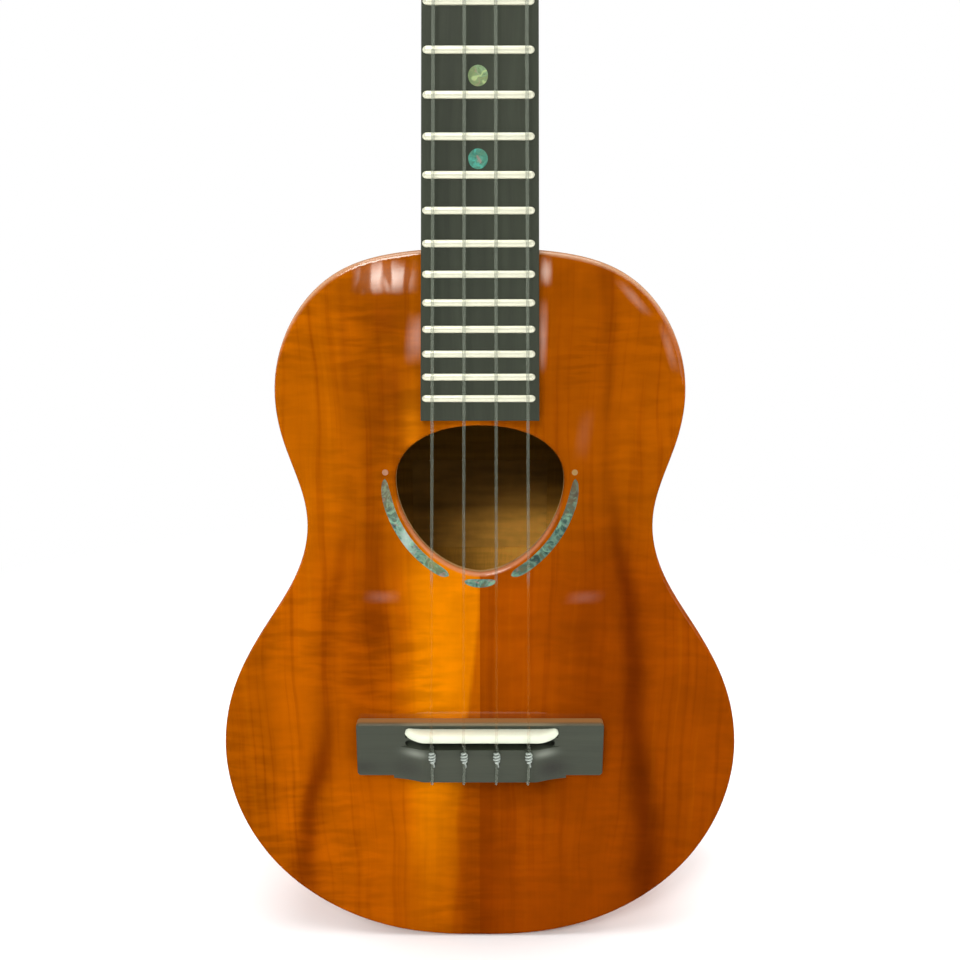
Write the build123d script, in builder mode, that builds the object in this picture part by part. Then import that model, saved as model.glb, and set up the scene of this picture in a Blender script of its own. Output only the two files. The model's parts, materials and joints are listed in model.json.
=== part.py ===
from build123d import *
import math
import os

# A four-string ukulele: hollow body, neck with leaning head, strings and geared tuners.
# +Z runs up the neck, the soundboard faces -Y, +X is to the player's treble side ("right").
# The origin is on the back's outer face, on the centre line, straight behind the saddle line.
# Plane.XZ points forward (-Y), so Plane.XZ.offset(d) lies d in front of the origin.

os.makedirs("parts", exist_ok=True)

# ------------------------------------------------------------------ driving sizes, mm
SCALE = 432.0          # string length, saddle line to nut
STRING_R = 0.42
SADDLE_STRING_X = [-19.85, -6.7, 6.7, 19.85]
NUT_STRING_X = [-13.2, -4.4, 4.4, 13.2]
NAMES = ["g", "c", "e", "a"]

# body
FACE = 68.0            # soundboard outer face in front of the origin
PLATE = 2.2            # soundboard and back board thickness
TOP_IN = FACE - PLATE  # soundboard inner face
EDGE_R = 2.0           # rounded outer edge of both boards
RIM = 2.0              # side thickness
BACK_SLOPE = 0.0345    # the body gets shallower towards the neck
BEHIND = 10.0          # blanks run this far behind the origin before they are cut to the back
THROUGH = TOP_IN + BEHIND
BACK_BLANK_Y = 14.0    # front of the blanks for the back boards and the label
JOINT_Z = 190.2        # where the neck meets the body
SEAT_X = 22.5          # half width of the flat neck seat

# soundhole and rosette
HOLE_A = 33.0          # soundhole half width
HOLE_Z = 102.3         # height of its widest line
HOLE_UP = 22.3
HOLE_DOWN = 37.6
HOLE_LIP_R = 1.6
HOLE_POINTS = 64
ROSETTE_OUT = 4.2      # soundhole edge to the middle of the rosette strips
ROSETTE_DEPTH = 1.0
ROSETTE_DOTS = [(36.9, 106.3), (-36.9, 106.3)]
ROSETTE_DOT_R = 1.2

# fretboard
BOARD_END_Z = 127.5    # fretboard end nearest the soundhole
BOARD_T = 5.0
BOARD_W0 = 22.5        # fretboard half width at its end
BOARD_TAPER = 0.01733  # half width lost per mm towards the nut
BOARD_TOP = FACE + BOARD_T
FRET_COUNT = 20
FRET_W = 2.6
FRET_SHIFT = -0.5      # the wires sit a little to the bass side of the board
FRET_H = 1.0
TANG_W = 0.6
DOT_FRETS = (5, 7, 10, 12)
DOT_X, DOT_DROP, DOT_R = -0.7, -1.0, 3.45
DOT_DEPTH = 1.2
SIDE_DOT_R = 1.0
SIDE_DOT_DEPTH = 1.5
SIDE_DOT_Y = -FACE - 2.6

# nut
NUT_T = 5.0
NUT_END_Z = SCALE + NUT_T
NUT_STRING_Y = -74.85
NUT_BEND = 3.0         # the strings bend down to the posts this far past the nut

# neck and head
NECK_DEPTH = 15.0      # at the nut
HEAD_ANGLE = 13.0
HEAD_T = 11.5
VENEER_T = 1.5
FERRULE_R = 4.3
POST_XY = [(-16.5, 42.0), (-18.5, 84.0), (18.5, 84.0), (16.5, 42.0)]  # across, up the head
SCREW_DY = (-10.2, 13.4)   # plate screws below and above each post
SCREW_XY = [(x, y + dy) for x, y in POST_XY for dy in SCREW_DY]
SCREW_R = 1.1
SCREW_LENGTH = 6.0     # depth into the head

# Half outline of the body, tail centre to neck joint, (half width, height).
OUTLINE = [
    (0.00, -106.24), (9.46, -106.18), (18.91, -105.63), (28.31, -104.45), (37.58, -102.53),
    (46.63, -99.75), (55.38, -96.12), (63.73, -91.66), (71.61, -86.40), (78.92, -80.39),
    (85.57, -73.65), (91.44, -66.22), (96.48, -58.20), (100.63, -49.69), (103.85, -40.79),
    (106.10, -31.60), (107.34, -22.21), (107.52, -12.75), (106.63, -3.32), (104.72, 5.95),
    (101.82, 14.97), (98.03, 23.64), (93.54, 31.98), (88.57, 40.04), (83.33, 47.94),
    (78.24, 55.92), (73.75, 64.26), (70.38, 73.10), (68.62, 82.39), (68.85, 91.84),
    (70.84, 101.09), (73.71, 110.12), (76.46, 119.18), (78.22, 128.48), (78.62, 137.94),
    (77.45, 147.32), (74.72, 156.38), (70.54, 164.87), (64.96, 172.51), (58.06, 178.97),
    (49.98, 183.89), (41.09, 187.13), (31.83, 189.08), (22.50, 190.20),
]
TAIL_Z = OUTLINE[0][1]

BACK_OUT = Plane(origin=(0, 0, 0), x_dir=(1, 0, 0), z_dir=(0, 1, BACK_SLOPE))
BACK_IN = BACK_OUT.offset(-PLATE)

# The head's face: x across, y up the head, z out of its face.
HEAD = Plane(origin=(0, -FACE, NUT_END_Z), x_dir=(1, 0, 0),
             z_dir=(0, -math.cos(math.radians(HEAD_ANGLE)), math.sin(math.radians(HEAD_ANGLE))))


# ------------------------------------------------------------------ shared helpers
def save(builder, name):
    builder.part.label = name
    export_step(builder.part, f"parts/{name}.step")


def unit(x, y):
    length = math.hypot(x, y)
    return (x / length, y / length)


def tangents_of(points):
    """Unit tangent at each point of an open curve."""
    tangents = []
    for i in range(len(points)):
        before = points[max(i - 1, 0)]
        after = points[min(i + 1, len(points) - 1)]
        tangents.append(unit(after[0] - before[0], after[1] - before[1]))
    return tangents


def outward(point, tangent, distance):
    """The point moved to the right of its tangent, which is outwards on these outlines."""
    return (point[0] + tangent[1] * distance, point[1] - tangent[0] * distance)


def on_side(points, side):
    """Right-hand points, mirrored to the left if side is -1."""
    return [(side * x, y) for x, y in points]


def superellipse(angle, half_width, height, exponent):
    cos, sin = math.cos(angle), math.sin(angle)
    reach = (abs(cos) ** exponent + abs(sin) ** exponent) ** (-1.0 / exponent)
    return (half_width * cos * reach, height * sin * reach)


def body_curve(depth):
    """Half outline moved inwards, ending level with the flat neck seat."""
    tangents = tangents_of(OUTLINE)
    tangents[0] = (1.0, 0.0)
    points = [outward(p, t, -depth) for p, t in zip(OUTLINE, tangents)]
    points[-1] = (SEAT_X, JOINT_Z - depth)
    return points


def hole_point(angle):
    """Point on the egg-shaped soundhole edge."""
    if math.sin(angle) >= 0:
        x, z = superellipse(angle, HOLE_A, HOLE_UP, 2.2)
    else:
        x, z = superellipse(angle, HOLE_A, HOLE_DOWN, 1.8)
    return (x, HOLE_Z + z)


def hole_curve(distance):
    """Closed soundhole outline moved outwards."""
    edge = [hole_point(2 * math.pi * i / HOLE_POINTS) for i in range(HOLE_POINTS)]
    moved = []
    for i, point in enumerate(edge):
        before, after = edge[i - 1], edge[(i + 1) % HOLE_POINTS]
        tangent = unit(after[0] - before[0], after[1] - before[1])
        moved.append(outward(point, tangent, distance))
    return moved


def half_of_hole(side):
    """Soundhole outline on one side of the centre line, bottom to top."""
    points = hole_curve(0.0)
    quarter = HOLE_POINTS // 4
    right = points[3 * quarter:] + points[:quarter + 1]
    right[0] = (0.0, right[0][1])
    right[-1] = (0.0, right[-1][1])
    return on_side(right, side)


def board_half(z):
    """Half width of the fretboard and neck."""
    return BOARD_W0 - BOARD_TAPER * (z - BOARD_END_Z)


def fret_z(n):
    return SCALE * 2.0 ** (-n / 12.0)


def before_fret(n):
    """Middle of the space between fret n and the one nearer the nut."""
    return (fret_z(n) + fret_z(n - 1)) / 2


def back_in_y(z):
    """Inner face of the back."""
    return -BACK_SLOPE * z - PLATE * math.sqrt(1 + BACK_SLOPE ** 2)


def rosette_band(start, end, width=3.9, start_taper=5.5, end_taper=5.5, count=26):
    """Both edges of a lens-ended strip along the soundhole, between two angles in degrees."""
    edge = [hole_point(math.radians(start + (end - start) * i / count)) for i in range(count + 1)]
    tangents = tangents_of(edge)
    middle = [outward(p, t, ROSETTE_OUT) for p, t in zip(edge, tangents)]
    run = [0.0]
    for a, b in zip(middle, middle[1:]):
        run.append(run[-1] + math.hypot(b[0] - a[0], b[1] - a[1]))
    outer, inner = [], []
    for point, tangent, done in zip(middle, tangents, run):
        fullness = min(1.0, done / start_taper, (run[-1] - done) / end_taper)
        half = width / 2 * math.sqrt(max(0.0, 1 - (1 - fullness) ** 2))
        outer.append(outward(point, tangent, half))
        inner.append(outward(point, tangent, -half))
    return outer, inner


RIGHT_BAND = rosette_band(-71.0, 3.5, end_taper=11.0)
LEFT_BAND = rosette_band(176.5, 251.0, start_taper=11.0)
BOTTOM_BAND = rosette_band(-99.3, -80.7, width=3.6, start_taper=6.2, end_taper=6.2, count=12)


# ------------------------------------------------------------------ soundboard
def make_soundboard(side, name, bands, dot):
    edge = half_of_hole(side)
    with BuildPart() as board:
        with BuildSketch(Plane.XZ.offset(TOP_IN)):
            with BuildLine():
                Spline(*on_side(OUTLINE, side))
                Polyline((side * SEAT_X, JOINT_Z), (0, JOINT_Z), (0, TAIL_Z))
            make_face()
            with BuildLine():
                Spline(*edge)
                Line(edge[-1], edge[0])
            make_face(mode=Mode.SUBTRACT)
        extrude(amount=PLATE)
        front = board.faces().sort_by(Axis.Y)[0]
        fillet(front.edges().filter_by(lambda e: side * e.center().X > 60), radius=EDGE_R)
        lip = board.faces().sort_by(Axis.Y)[0].edges().filter_by(
            lambda e: 15 < side * e.center().X < 45 and 70 < e.center().Z < 120)
        fillet(lip, radius=HOLE_LIP_R)
        # pockets for the rosette
        with BuildSketch(Plane.XZ.offset(FACE)):
            for outer, inner in bands:
                with BuildLine():
                    Spline(*outer)
                    Spline(*inner)
                make_face()
            with Locations(dot):
                Circle(ROSETTE_DOT_R)
        extrude(amount=-ROSETTE_DEPTH, mode=Mode.SUBTRACT)
    save(board, name)


make_soundboard(1, "soundboard_right", (RIGHT_BAND, BOTTOM_BAND), ROSETTE_DOTS[0])
make_soundboard(-1, "soundboard_left", (LEFT_BAND, BOTTOM_BAND), ROSETTE_DOTS[1])

# Abalone arcs let into the soundboard.
with BuildPart() as rosette_inlay:
    with BuildSketch(Plane.XZ.offset(FACE)):
        for outer, inner in (RIGHT_BAND, LEFT_BAND, BOTTOM_BAND):
            with BuildLine():
                Spline(*outer)
                Spline(*inner)
            make_face()
    extrude(amount=-ROSETTE_DEPTH)
save(rosette_inlay, "rosette_inlay")

with BuildPart() as rosette_dots:
    with BuildSketch(Plane.XZ.offset(FACE)):
        with Locations(*ROSETTE_DOTS):
            Circle(ROSETTE_DOT_R)
    extrude(amount=-ROSETTE_DEPTH)
save(rosette_dots, "rosette_dots")

# Doubling ring glued round the hole on the inside.
HOLE_RING_W = 7.0
HOLE_RING_T = 2.0
with BuildPart() as soundhole_ring:
    with BuildSketch(Plane.XZ.offset(TOP_IN - HOLE_RING_T)):
        with BuildLine():
            Spline(*hole_curve(HOLE_RING_W), periodic=True)
        make_face()
        with BuildLine():
            Spline(*hole_curve(0.0), periodic=True)
        make_face(mode=Mode.SUBTRACT)
    extrude(amount=HOLE_RING_T)
save(soundhole_ring, "soundhole_ring")


# ------------------------------------------------------------------ back and bent sides
def make_back(side, name):
    with BuildPart() as back_half:
        with BuildSketch(Plane.XZ.offset(BACK_BLANK_Y)):
            with BuildLine():
                Spline(*on_side(OUTLINE, side))
                Polyline((side * SEAT_X, JOINT_Z), (0, JOINT_Z), (0, TAIL_Z))
            make_face()
        extrude(amount=-(BACK_BLANK_Y + BEHIND))
        split(bisect_by=BACK_OUT, keep=Keep.BOTTOM)
        split(bisect_by=BACK_IN, keep=Keep.TOP)
        outer_face = back_half.faces().sort_by(Axis((0, 0, 0), (0, 1, BACK_SLOPE)))[-1]
        fillet(outer_face.edges().filter_by(lambda e: abs(e.center().X) > 60), radius=EDGE_R)
    save(back_half, name)


def make_side(side, name):
    with BuildPart() as rim_half:
        with BuildSketch(Plane.XZ.offset(TOP_IN)):
            with BuildLine():
                Spline(*on_side(OUTLINE, side))
                Polyline((side * SEAT_X, JOINT_Z), (0, JOINT_Z), (0, JOINT_Z - RIM),
                         (side * SEAT_X, JOINT_Z - RIM))
                Spline(*on_side(body_curve(RIM), side)[::-1])
                Line((0, TAIL_Z + RIM), (0, TAIL_Z))
            make_face()
        extrude(amount=-THROUGH)
        split(bisect_by=BACK_IN, keep=Keep.BOTTOM)
    save(rim_half, name)


for side, tag in ((1, "right"), (-1, "left")):
    make_back(side, f"back_{tag}")
    make_side(side, f"side_{tag}")

# ------------------------------------------------------------------ kerfed linings
LINING_W = 5.0
LINING_H = 8.0
BACK_LINING_Y = 22.0   # front of the blank for the back linings
KERF = 1.2
KERF_PITCH = 7.0
KERF_WEB = 1.0         # uncut thickness left against the side
TAIL_GAP_X = 20.0      # the linings stop here, beside the tail block


def kerf_spots():
    """(x, z, angle) of the saw cuts, stepped along the middle of the right-hand lining."""
    line = body_curve(RIM + LINING_W / 2)
    tangents = tangents_of(line)
    spots = []
    run = 0.0
    next_cut = KERF_PITCH
    for i in range(1, len(line)):
        (x0, z0), (x1, z1) = line[i - 1], line[i]
        length = math.hypot(x1 - x0, z1 - z0)
        while next_cut <= run + length:
            part = (next_cut - run) / length
            x, z = x0 + part * (x1 - x0), z0 + part * (z1 - z0)
            tangent = unit(*(tangents[i - 1][k] * (1 - part) + tangents[i][k] * part
                             for k in (0, 1)))
            if x > 24 and z < 183:
                angle = math.degrees(math.atan2(tangent[1], tangent[0]))
                spots.append((*outward((x, z), tangent, -KERF_WEB), angle))
            next_cut += KERF_PITCH
        run += length
    return spots


KERF_SPOTS = kerf_spots()


def make_lining(side, where, name):
    spots = [Location((side * x, z, 0), (0, 0, angle if side > 0 else 180 - angle))
             for x, z, angle in KERF_SPOTS]
    start = TOP_IN if where == "front" else BACK_LINING_Y
    with BuildPart() as lining:
        with BuildSketch(Plane.XZ.offset(start)):
            with BuildLine():
                Spline(*on_side(body_curve(RIM), side))
                Polyline((side * SEAT_X, JOINT_Z - RIM), (side * SEAT_X, JOINT_Z - RIM - LINING_W))
                Spline(*on_side(body_curve(RIM + LINING_W), side)[::-1])
                Line((0, TAIL_Z + RIM + LINING_W), (0, TAIL_Z + RIM))
            make_face()
            with Locations((side * TAIL_GAP_X / 2, -98)):
                Rectangle(TAIL_GAP_X, 30, mode=Mode.SUBTRACT)
            with Locations(*spots):
                Rectangle(KERF, LINING_W, mode=Mode.SUBTRACT)
        if where == "front":
            extrude(amount=-LINING_H)
        else:
            extrude(amount=-(BACK_LINING_Y + BEHIND))
            split(bisect_by=BACK_IN, keep=Keep.BOTTOM)
            split(bisect_by=BACK_IN.offset(-LINING_H), keep=Keep.TOP)
    save(lining, name)


for side, tag in ((1, "right"), (-1, "left")):
    for where in ("front", "back"):
        make_lining(side, where, f"{where}_lining_{tag}")

# ------------------------------------------------------------------ end blocks
NECK_BLOCK_W, NECK_BLOCK_H = 44.0, 20.0
with BuildPart() as neck_block:
    with BuildSketch(Plane.XZ.offset(TOP_IN)):
        with Locations((0, JOINT_Z - RIM - NECK_BLOCK_H / 2)):
            Rectangle(NECK_BLOCK_W, NECK_BLOCK_H)
    extrude(amount=-THROUGH)
    split(bisect_by=BACK_IN, keep=Keep.BOTTOM)
save(neck_block, "neck_block")

# The tail block follows the inside of the sides.
TAIL_CURVE = body_curve(RIM)[:12]
with BuildPart() as tail_block:
    with BuildSketch(Plane.XZ.offset(TOP_IN)):
        with BuildLine():
            Spline(*(on_side(TAIL_CURVE[1:], -1)[::-1] + TAIL_CURVE))
            Line(TAIL_CURVE[-1], (-TAIL_CURVE[-1][0], TAIL_CURVE[-1][1]))
        make_face()
        with Locations((0, -100)):
            Rectangle(2 * TAIL_GAP_X, 24, mode=Mode.INTERSECT)
    extrude(amount=-THROUGH)
    split(bisect_by=BACK_IN, keep=Keep.BOTTOM)
save(tail_block, "tail_block")


# ------------------------------------------------------------------ braces
def brace_profile(half, base_y, end_y, crest_y, taper):
    """Closed outline of a bar on the board side base_y, tapered at both ends."""
    return [(-half, base_y), (half, base_y), (half, end_y), (half - taper, crest_y),
            (taper - half, crest_y), (-half, end_y), (-half, base_y)]


def make_top_brace(name, z, half):
    with BuildPart() as brace:
        with BuildSketch(Plane.XY.offset(z)):
            with BuildLine():
                Polyline(*brace_profile(half, -TOP_IN, -TOP_IN + 3, -TOP_IN + 10, taper=18))
            make_face()
        extrude(amount=3.0, both=True)
    save(brace, name)


def make_back_brace(name, z, half):
    y = back_in_y(z)
    with BuildPart() as brace:
        with BuildSketch(Plane.XY.offset(z)):
            with BuildLine():
                # starts 2 mm deep in the back, then is cut to its slope
                Polyline(*brace_profile(half, y + 2, y - 3, y - 11, taper=20))
            make_face()
        extrude(amount=3.5, both=True)
        split(bisect_by=BACK_IN, keep=Keep.BOTTOM)
    save(brace, name)


make_top_brace("upper_transverse_brace", 136.5, 70.0)
make_top_brace("lower_transverse_brace", 51.0, 70.5)
make_back_brace("upper_back_brace", 122.0, 67.0)
make_back_brace("lower_back_brace", -20.0, 98.0)

PAD_Z0, PAD_Z1, PAD_X = -30.0, 8.0, 46.0   # bridge plate ends and half width
PAD_T = 2.0
with BuildPart() as bridge_plate:
    with BuildSketch(Plane.XZ.offset(TOP_IN - PAD_T)):
        with Locations((0, (PAD_Z0 + PAD_Z1) / 2)):
            Rectangle(2 * PAD_X, PAD_Z1 - PAD_Z0)
    extrude(amount=PAD_T)
save(bridge_plate, "bridge_plate")

FAN = [(-18.0, -9.0), (0.0, 0.0), (18.0, 9.0)]   # x at the upper end, spread in degrees
FAN_TOP_Z = 46.0
FAN_LENGTH = 124.0
FAN_TAPER = 16.0
FAN_H, FAN_END_H = 6.0, 1.5
with BuildPart() as fan_braces:
    for x, degrees in FAN:
        sin, cos = math.sin(math.radians(degrees)), math.cos(math.radians(degrees))
        along = Plane(origin=(x, -TOP_IN, FAN_TOP_Z), x_dir=(sin, 0, -cos), z_dir=(cos, 0, sin))
        with BuildSketch(along):
            with BuildLine():
                Polyline((0, 0), (FAN_LENGTH, 0), (FAN_LENGTH, FAN_END_H),
                         (FAN_LENGTH - FAN_TAPER, FAN_H), (FAN_TAPER, FAN_H),
                         (0, FAN_END_H), (0, 0))
            make_face()
        extrude(amount=2.5, both=True)
    # notched over the bridge plate
    with BuildSketch(Plane.XZ.offset(TOP_IN - PAD_T)):
        with Locations((0, (PAD_Z0 + PAD_Z1) / 2)):
            Rectangle(2 * PAD_X, PAD_Z1 - PAD_Z0)
    extrude(amount=PAD_T + 0.5, mode=Mode.SUBTRACT)
save(fan_braces, "fan_braces")

# Blank paper label on the inside of the back, behind the lower part of the soundhole.
LABEL_T = 0.3
with BuildPart() as inner_label:
    with BuildSketch(Plane.XZ.offset(BACK_BLANK_Y)):
        with Locations((0, 76)):
            RectangleRounded(62, 42, 1.5)
    extrude(amount=-(BACK_BLANK_Y + BEHIND))
    split(bisect_by=BACK_IN, keep=Keep.BOTTOM)
    split(bisect_by=BACK_IN.offset(-LABEL_T), keep=Keep.TOP)
save(inner_label, "inner_label")

# ------------------------------------------------------------------ fretboard, frets, inlays
DOT_SPOTS = [(DOT_X, before_fret(n) + DOT_DROP) for n in DOT_FRETS]
BOARD_CORNERS = [
    (-board_half(BOARD_END_Z), BOARD_END_Z), (board_half(BOARD_END_Z), BOARD_END_Z),
    (board_half(SCALE), SCALE), (-board_half(SCALE), SCALE),
]

with BuildPart() as fretboard:
    with BuildSketch(Plane.XZ.offset(FACE)):
        with BuildLine():
            Polyline(*BOARD_CORNERS, BOARD_CORNERS[0])
        make_face()
    extrude(amount=BOARD_T)
    # every front edge but the one at the nut
    front_edges = fretboard.faces().sort_by(Axis.Y)[0].edges().filter_by(
        lambda e: e.center().Z < 400)
    fillet(front_edges, radius=0.5)
    for n in range(1, FRET_COUNT + 1):
        with BuildSketch(Plane.XZ.offset(BOARD_TOP)):
            with Locations((FRET_SHIFT, fret_z(n))):
                Rectangle(2 * (board_half(fret_z(n)) - 1.2), TANG_W)
        extrude(amount=-1.6, mode=Mode.SUBTRACT)
    with BuildSketch(Plane.XZ.offset(BOARD_TOP)):
        with Locations(*DOT_SPOTS):
            Circle(DOT_R)
    extrude(amount=-DOT_DEPTH, mode=Mode.SUBTRACT)
    for n in DOT_FRETS:
        z = before_fret(n)
        with BuildSketch(Plane.YZ.offset(-board_half(z) + SIDE_DOT_DEPTH)):
            with Locations((SIDE_DOT_Y, z)):
                Circle(SIDE_DOT_R)
        extrude(amount=-4, mode=Mode.SUBTRACT)
save(fretboard, "fretboard")

# Domed wires with a tang let into the board.
with BuildPart() as frets:
    for n in range(1, FRET_COUNT + 1):
        z, y = fret_z(n), -BOARD_TOP
        half = board_half(z) - 1.0
        with BuildSketch(Plane.YZ.offset(FRET_SHIFT)):
            with BuildLine():
                ThreePointArc((y, z - FRET_W / 2), (y - FRET_H, z), (y, z + FRET_W / 2))
                Line((y, z + FRET_W / 2), (y, z - FRET_W / 2))
            make_face()
        extrude(amount=half, both=True)
        with BuildSketch(Plane.YZ.offset(FRET_SHIFT)):
            with Locations((y + 0.7, z)):
                Rectangle(1.6, TANG_W)
        extrude(amount=half - 0.2, both=True)
save(frets, "frets")

with BuildPart() as position_dots:
    with BuildSketch(Plane.XZ.offset(BOARD_TOP)):
        with Locations(*DOT_SPOTS):
            Circle(DOT_R)
    extrude(amount=-DOT_DEPTH)
save(position_dots, "position_dots")

# Dots in the bass edge of the board.
with BuildPart() as side_dots:
    for n in DOT_FRETS:
        z = before_fret(n)
        with BuildSketch(Plane.YZ.offset(-board_half(z) + SIDE_DOT_DEPTH)):
            with Locations((SIDE_DOT_Y, z)):
                Circle(SIDE_DOT_R)
        extrude(amount=-SIDE_DOT_DEPTH)
save(side_dots, "side_dots")

# ------------------------------------------------------------------ neck, heel, head
# Heel stations from the body joint up, (z, depth behind the fretboard).
HEEL = [
    (190.2, 76.0), (195.5, 66.0), (201.0, 53.5), (207.0, 41.5),
    (213.5, 31.5), (220.5, 24.5), (228.5, 20.2), (238.0, 18.2),
]
# Right edge of the head from the nut up, then its top edge to the centre, (across, up).
HEAD_EDGE = [
    (17.14, 0.0), (18.2, 5.0), (22.0, 12.0), (26.6, 20.0), (28.6, 30.0), (28.9, 45.0),
    (29.3, 70.0), (30.0, 95.0), (31.4, 118.0), (32.2, 127.0),
]
CROWN = [(32.2, 127.0), (26.0, 130.0), (18.0, 132.6), (9.0, 136.6), (0.0, 139.0)]
HEAD_CURVES = (HEAD_EDGE, CROWN, on_side(HEAD_EDGE, -1), on_side(CROWN, -1))
HEAD_FOOT = [(-17.14, 0), (17.14, 0)]
SWELL_Z = SCALE - 4            # where the neck starts to swell into the head
SWELL_UP, SWELL_X = 21.0, 26.0   # end of the swelling: up the head, half width


def neck_section(half, depth, exponent=2.25):
    """Back of the neck from one edge to the other, as (x, depth behind the front face)."""
    points = [superellipse(math.pi * i / 12, half, depth, exponent) for i in range(13)]
    points[0], points[-1] = (half, 0.0), (-half, 0.0)
    return points


def neck_curve(z, depth):
    """The neck section at height z, as (x, y)."""
    return [(x, -FACE + back) for x, back in neck_section(board_half(z), depth)]


with BuildPart() as neck_blank:
    for z, depth in HEEL:
        curve = neck_curve(z, depth)
        with BuildSketch(Plane.XY.offset(z)):
            with BuildLine():
                Spline(*curve)
                Line(curve[-1], curve[0])
            make_face()
    loft()

with BuildPart() as neck:
    add(neck_blank.part)
    split(bisect_by=BACK_IN, keep=Keep.BOTTOM)
    for z, depth in (HEEL[-1], (NUT_END_Z, NECK_DEPTH)):
        curve = neck_curve(z, depth)
        with BuildSketch(Plane.XY.offset(z)):
            with BuildLine():
                Spline(*curve)
                Line(curve[-1], curve[0])
            make_face()
    loft()
    # head core, square behind the nut and leaning back
    with BuildSketch(HEAD.offset(-HEAD_T)):
        with BuildLine():
            for curve in HEAD_CURVES:
                Spline(*curve)
            Line(*HEAD_FOOT)
        make_face()
    extrude(amount=HEAD_T)
    # swelling that carries the round neck into the flat head
    curve = neck_curve(SWELL_Z, NECK_DEPTH)
    with BuildSketch(Plane.XY.offset(SWELL_Z)):
        with BuildLine():
            Spline(*curve)
            Line(curve[-1], curve[0])
        make_face()
    curve = neck_section(SWELL_X, HEAD_T, exponent=3.2)
    with BuildSketch(Plane(origin=HEAD.from_local_coords((0, SWELL_UP, 0)),
                           x_dir=(1, 0, 0), z_dir=HEAD.y_dir)):
        with BuildLine():
            Spline(*curve)
            Line(curve[-1], curve[0])
        make_face()
    loft()
    # post holes through the head
    with BuildSketch(HEAD):
        with Locations(*POST_XY):
            Circle(FERRULE_R)
    extrude(amount=-HEAD_T, mode=Mode.SUBTRACT)
    # pilot holes for the plate screws
    with BuildSketch(HEAD.offset(-HEAD_T)):
        with Locations(*SCREW_XY):
            Circle(SCREW_R)
    extrude(amount=SCREW_LENGTH, mode=Mode.SUBTRACT)
save(neck, "neck")

# The foot of the heel, level with the back board.
with BuildPart() as heel_cap:
    add(neck_blank.part)
    split(bisect_by=BACK_IN, keep=Keep.TOP)
    split(bisect_by=BACK_OUT, keep=Keep.BOTTOM)
save(heel_cap, "heel_cap")

with BuildPart() as head_veneer:
    with BuildSketch(HEAD):
        with BuildLine():
            for curve in HEAD_CURVES:
                Spline(*curve)
            Line(*HEAD_FOOT)
        make_face()
        with Locations(*POST_XY):
            Circle(FERRULE_R, mode=Mode.SUBTRACT)
    extrude(amount=VENEER_T)
save(head_veneer, "head_veneer")

# ------------------------------------------------------------------ nut
NUT_FRONT_H, NUT_MID_H, NUT_BACK_H = 7.6, 7.1, 6.2   # fretboard side, crown, head side
NUT_HALF = board_half(NUT_END_Z)
NUT_SLOT_R = STRING_R + 0.12
NUT_SLOT_Y = NUT_STRING_Y - 0.05
NUT_SLOT_H = 4.0

with BuildPart() as nut:
    with BuildSketch(Plane.YZ.offset(-NUT_HALF)):
        with BuildLine():
            Polyline((-FACE, SCALE), (-FACE, NUT_END_Z), (-FACE - NUT_BACK_H, NUT_END_Z))
            ThreePointArc((-FACE - NUT_BACK_H, NUT_END_Z), (-FACE - NUT_MID_H, SCALE + 3.6),
                          (-FACE - NUT_FRONT_H, SCALE))
            Line((-FACE - NUT_FRONT_H, SCALE), (-FACE, SCALE))
        make_face()
    extrude(amount=2 * NUT_HALF)
    fillet(nut.edges().filter_by(
        lambda e: abs(e.center().X) > NUT_HALF - 0.1 and e.center().Y < -FACE - 6.3), radius=0.6)
    for nut_x, saddle_x in zip(NUT_STRING_X, SADDLE_STRING_X):
        # where the string crosses the middle of the nut
        slot_x = nut_x + (saddle_x - nut_x) * (NUT_T / 2 + NUT_BEND) / SCALE
        with BuildSketch(Plane.XY.offset(SCALE - 1)):
            with Locations((slot_x, NUT_SLOT_Y)):
                Circle(NUT_SLOT_R)
            with Locations((slot_x, NUT_SLOT_Y - NUT_SLOT_H / 2)):
                Rectangle(2 * NUT_SLOT_R, NUT_SLOT_H)
        extrude(amount=NUT_T + 2, mode=Mode.SUBTRACT)
save(nut, "nut")

# ------------------------------------------------------------------ bridge
BRIDGE_X = 51.3                       # half length
BRIDGE_Z0, BRIDGE_Z1 = -23.2, 0.8
WING_H = 5.0
TIE_H = 8.0                           # tie block height over the soundboard
TIE_Z0, TIE_Z1 = -24.2, -9.4
TIE_BASE_Y = -FACE - 3
TROUGH_H = 2.6
TROUGH_LENGTH = 62.0
TIE_HOLE_Y = -FACE - 3.8
TIE_HOLE_R = 0.85
SADDLE_X = 31.6                       # half length
SADDLE_CX = 0.7                       # the saddle sits slightly to the treble side
SADDLE_Z0, SADDLE_Z1 = -5.3, -1.4
SLOT_H = 2.2                          # floor of the saddle slot over the soundboard
TROUGH_Z1 = SADDLE_Z0 - 1.2           # leaves a wall behind the saddle
# Scooped right end of the tie block, (x, height over the soundboard).
TIE_SCOOP = [
    (22.0, TIE_H), (23.5, TIE_H - 0.08), (25.6, TIE_H - 0.75),
    (28.2, WING_H + 1.3), (32.0, WING_H + 0.25), (36.0, WING_H - 0.4),
]
SCOOP_RIGHT = [(x, -FACE - height) for x, height in TIE_SCOOP]
SCOOP_LEFT = on_side(SCOOP_RIGHT, -1)[::-1]
TIE_END_X = TIE_SCOOP[-1][0]

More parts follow.
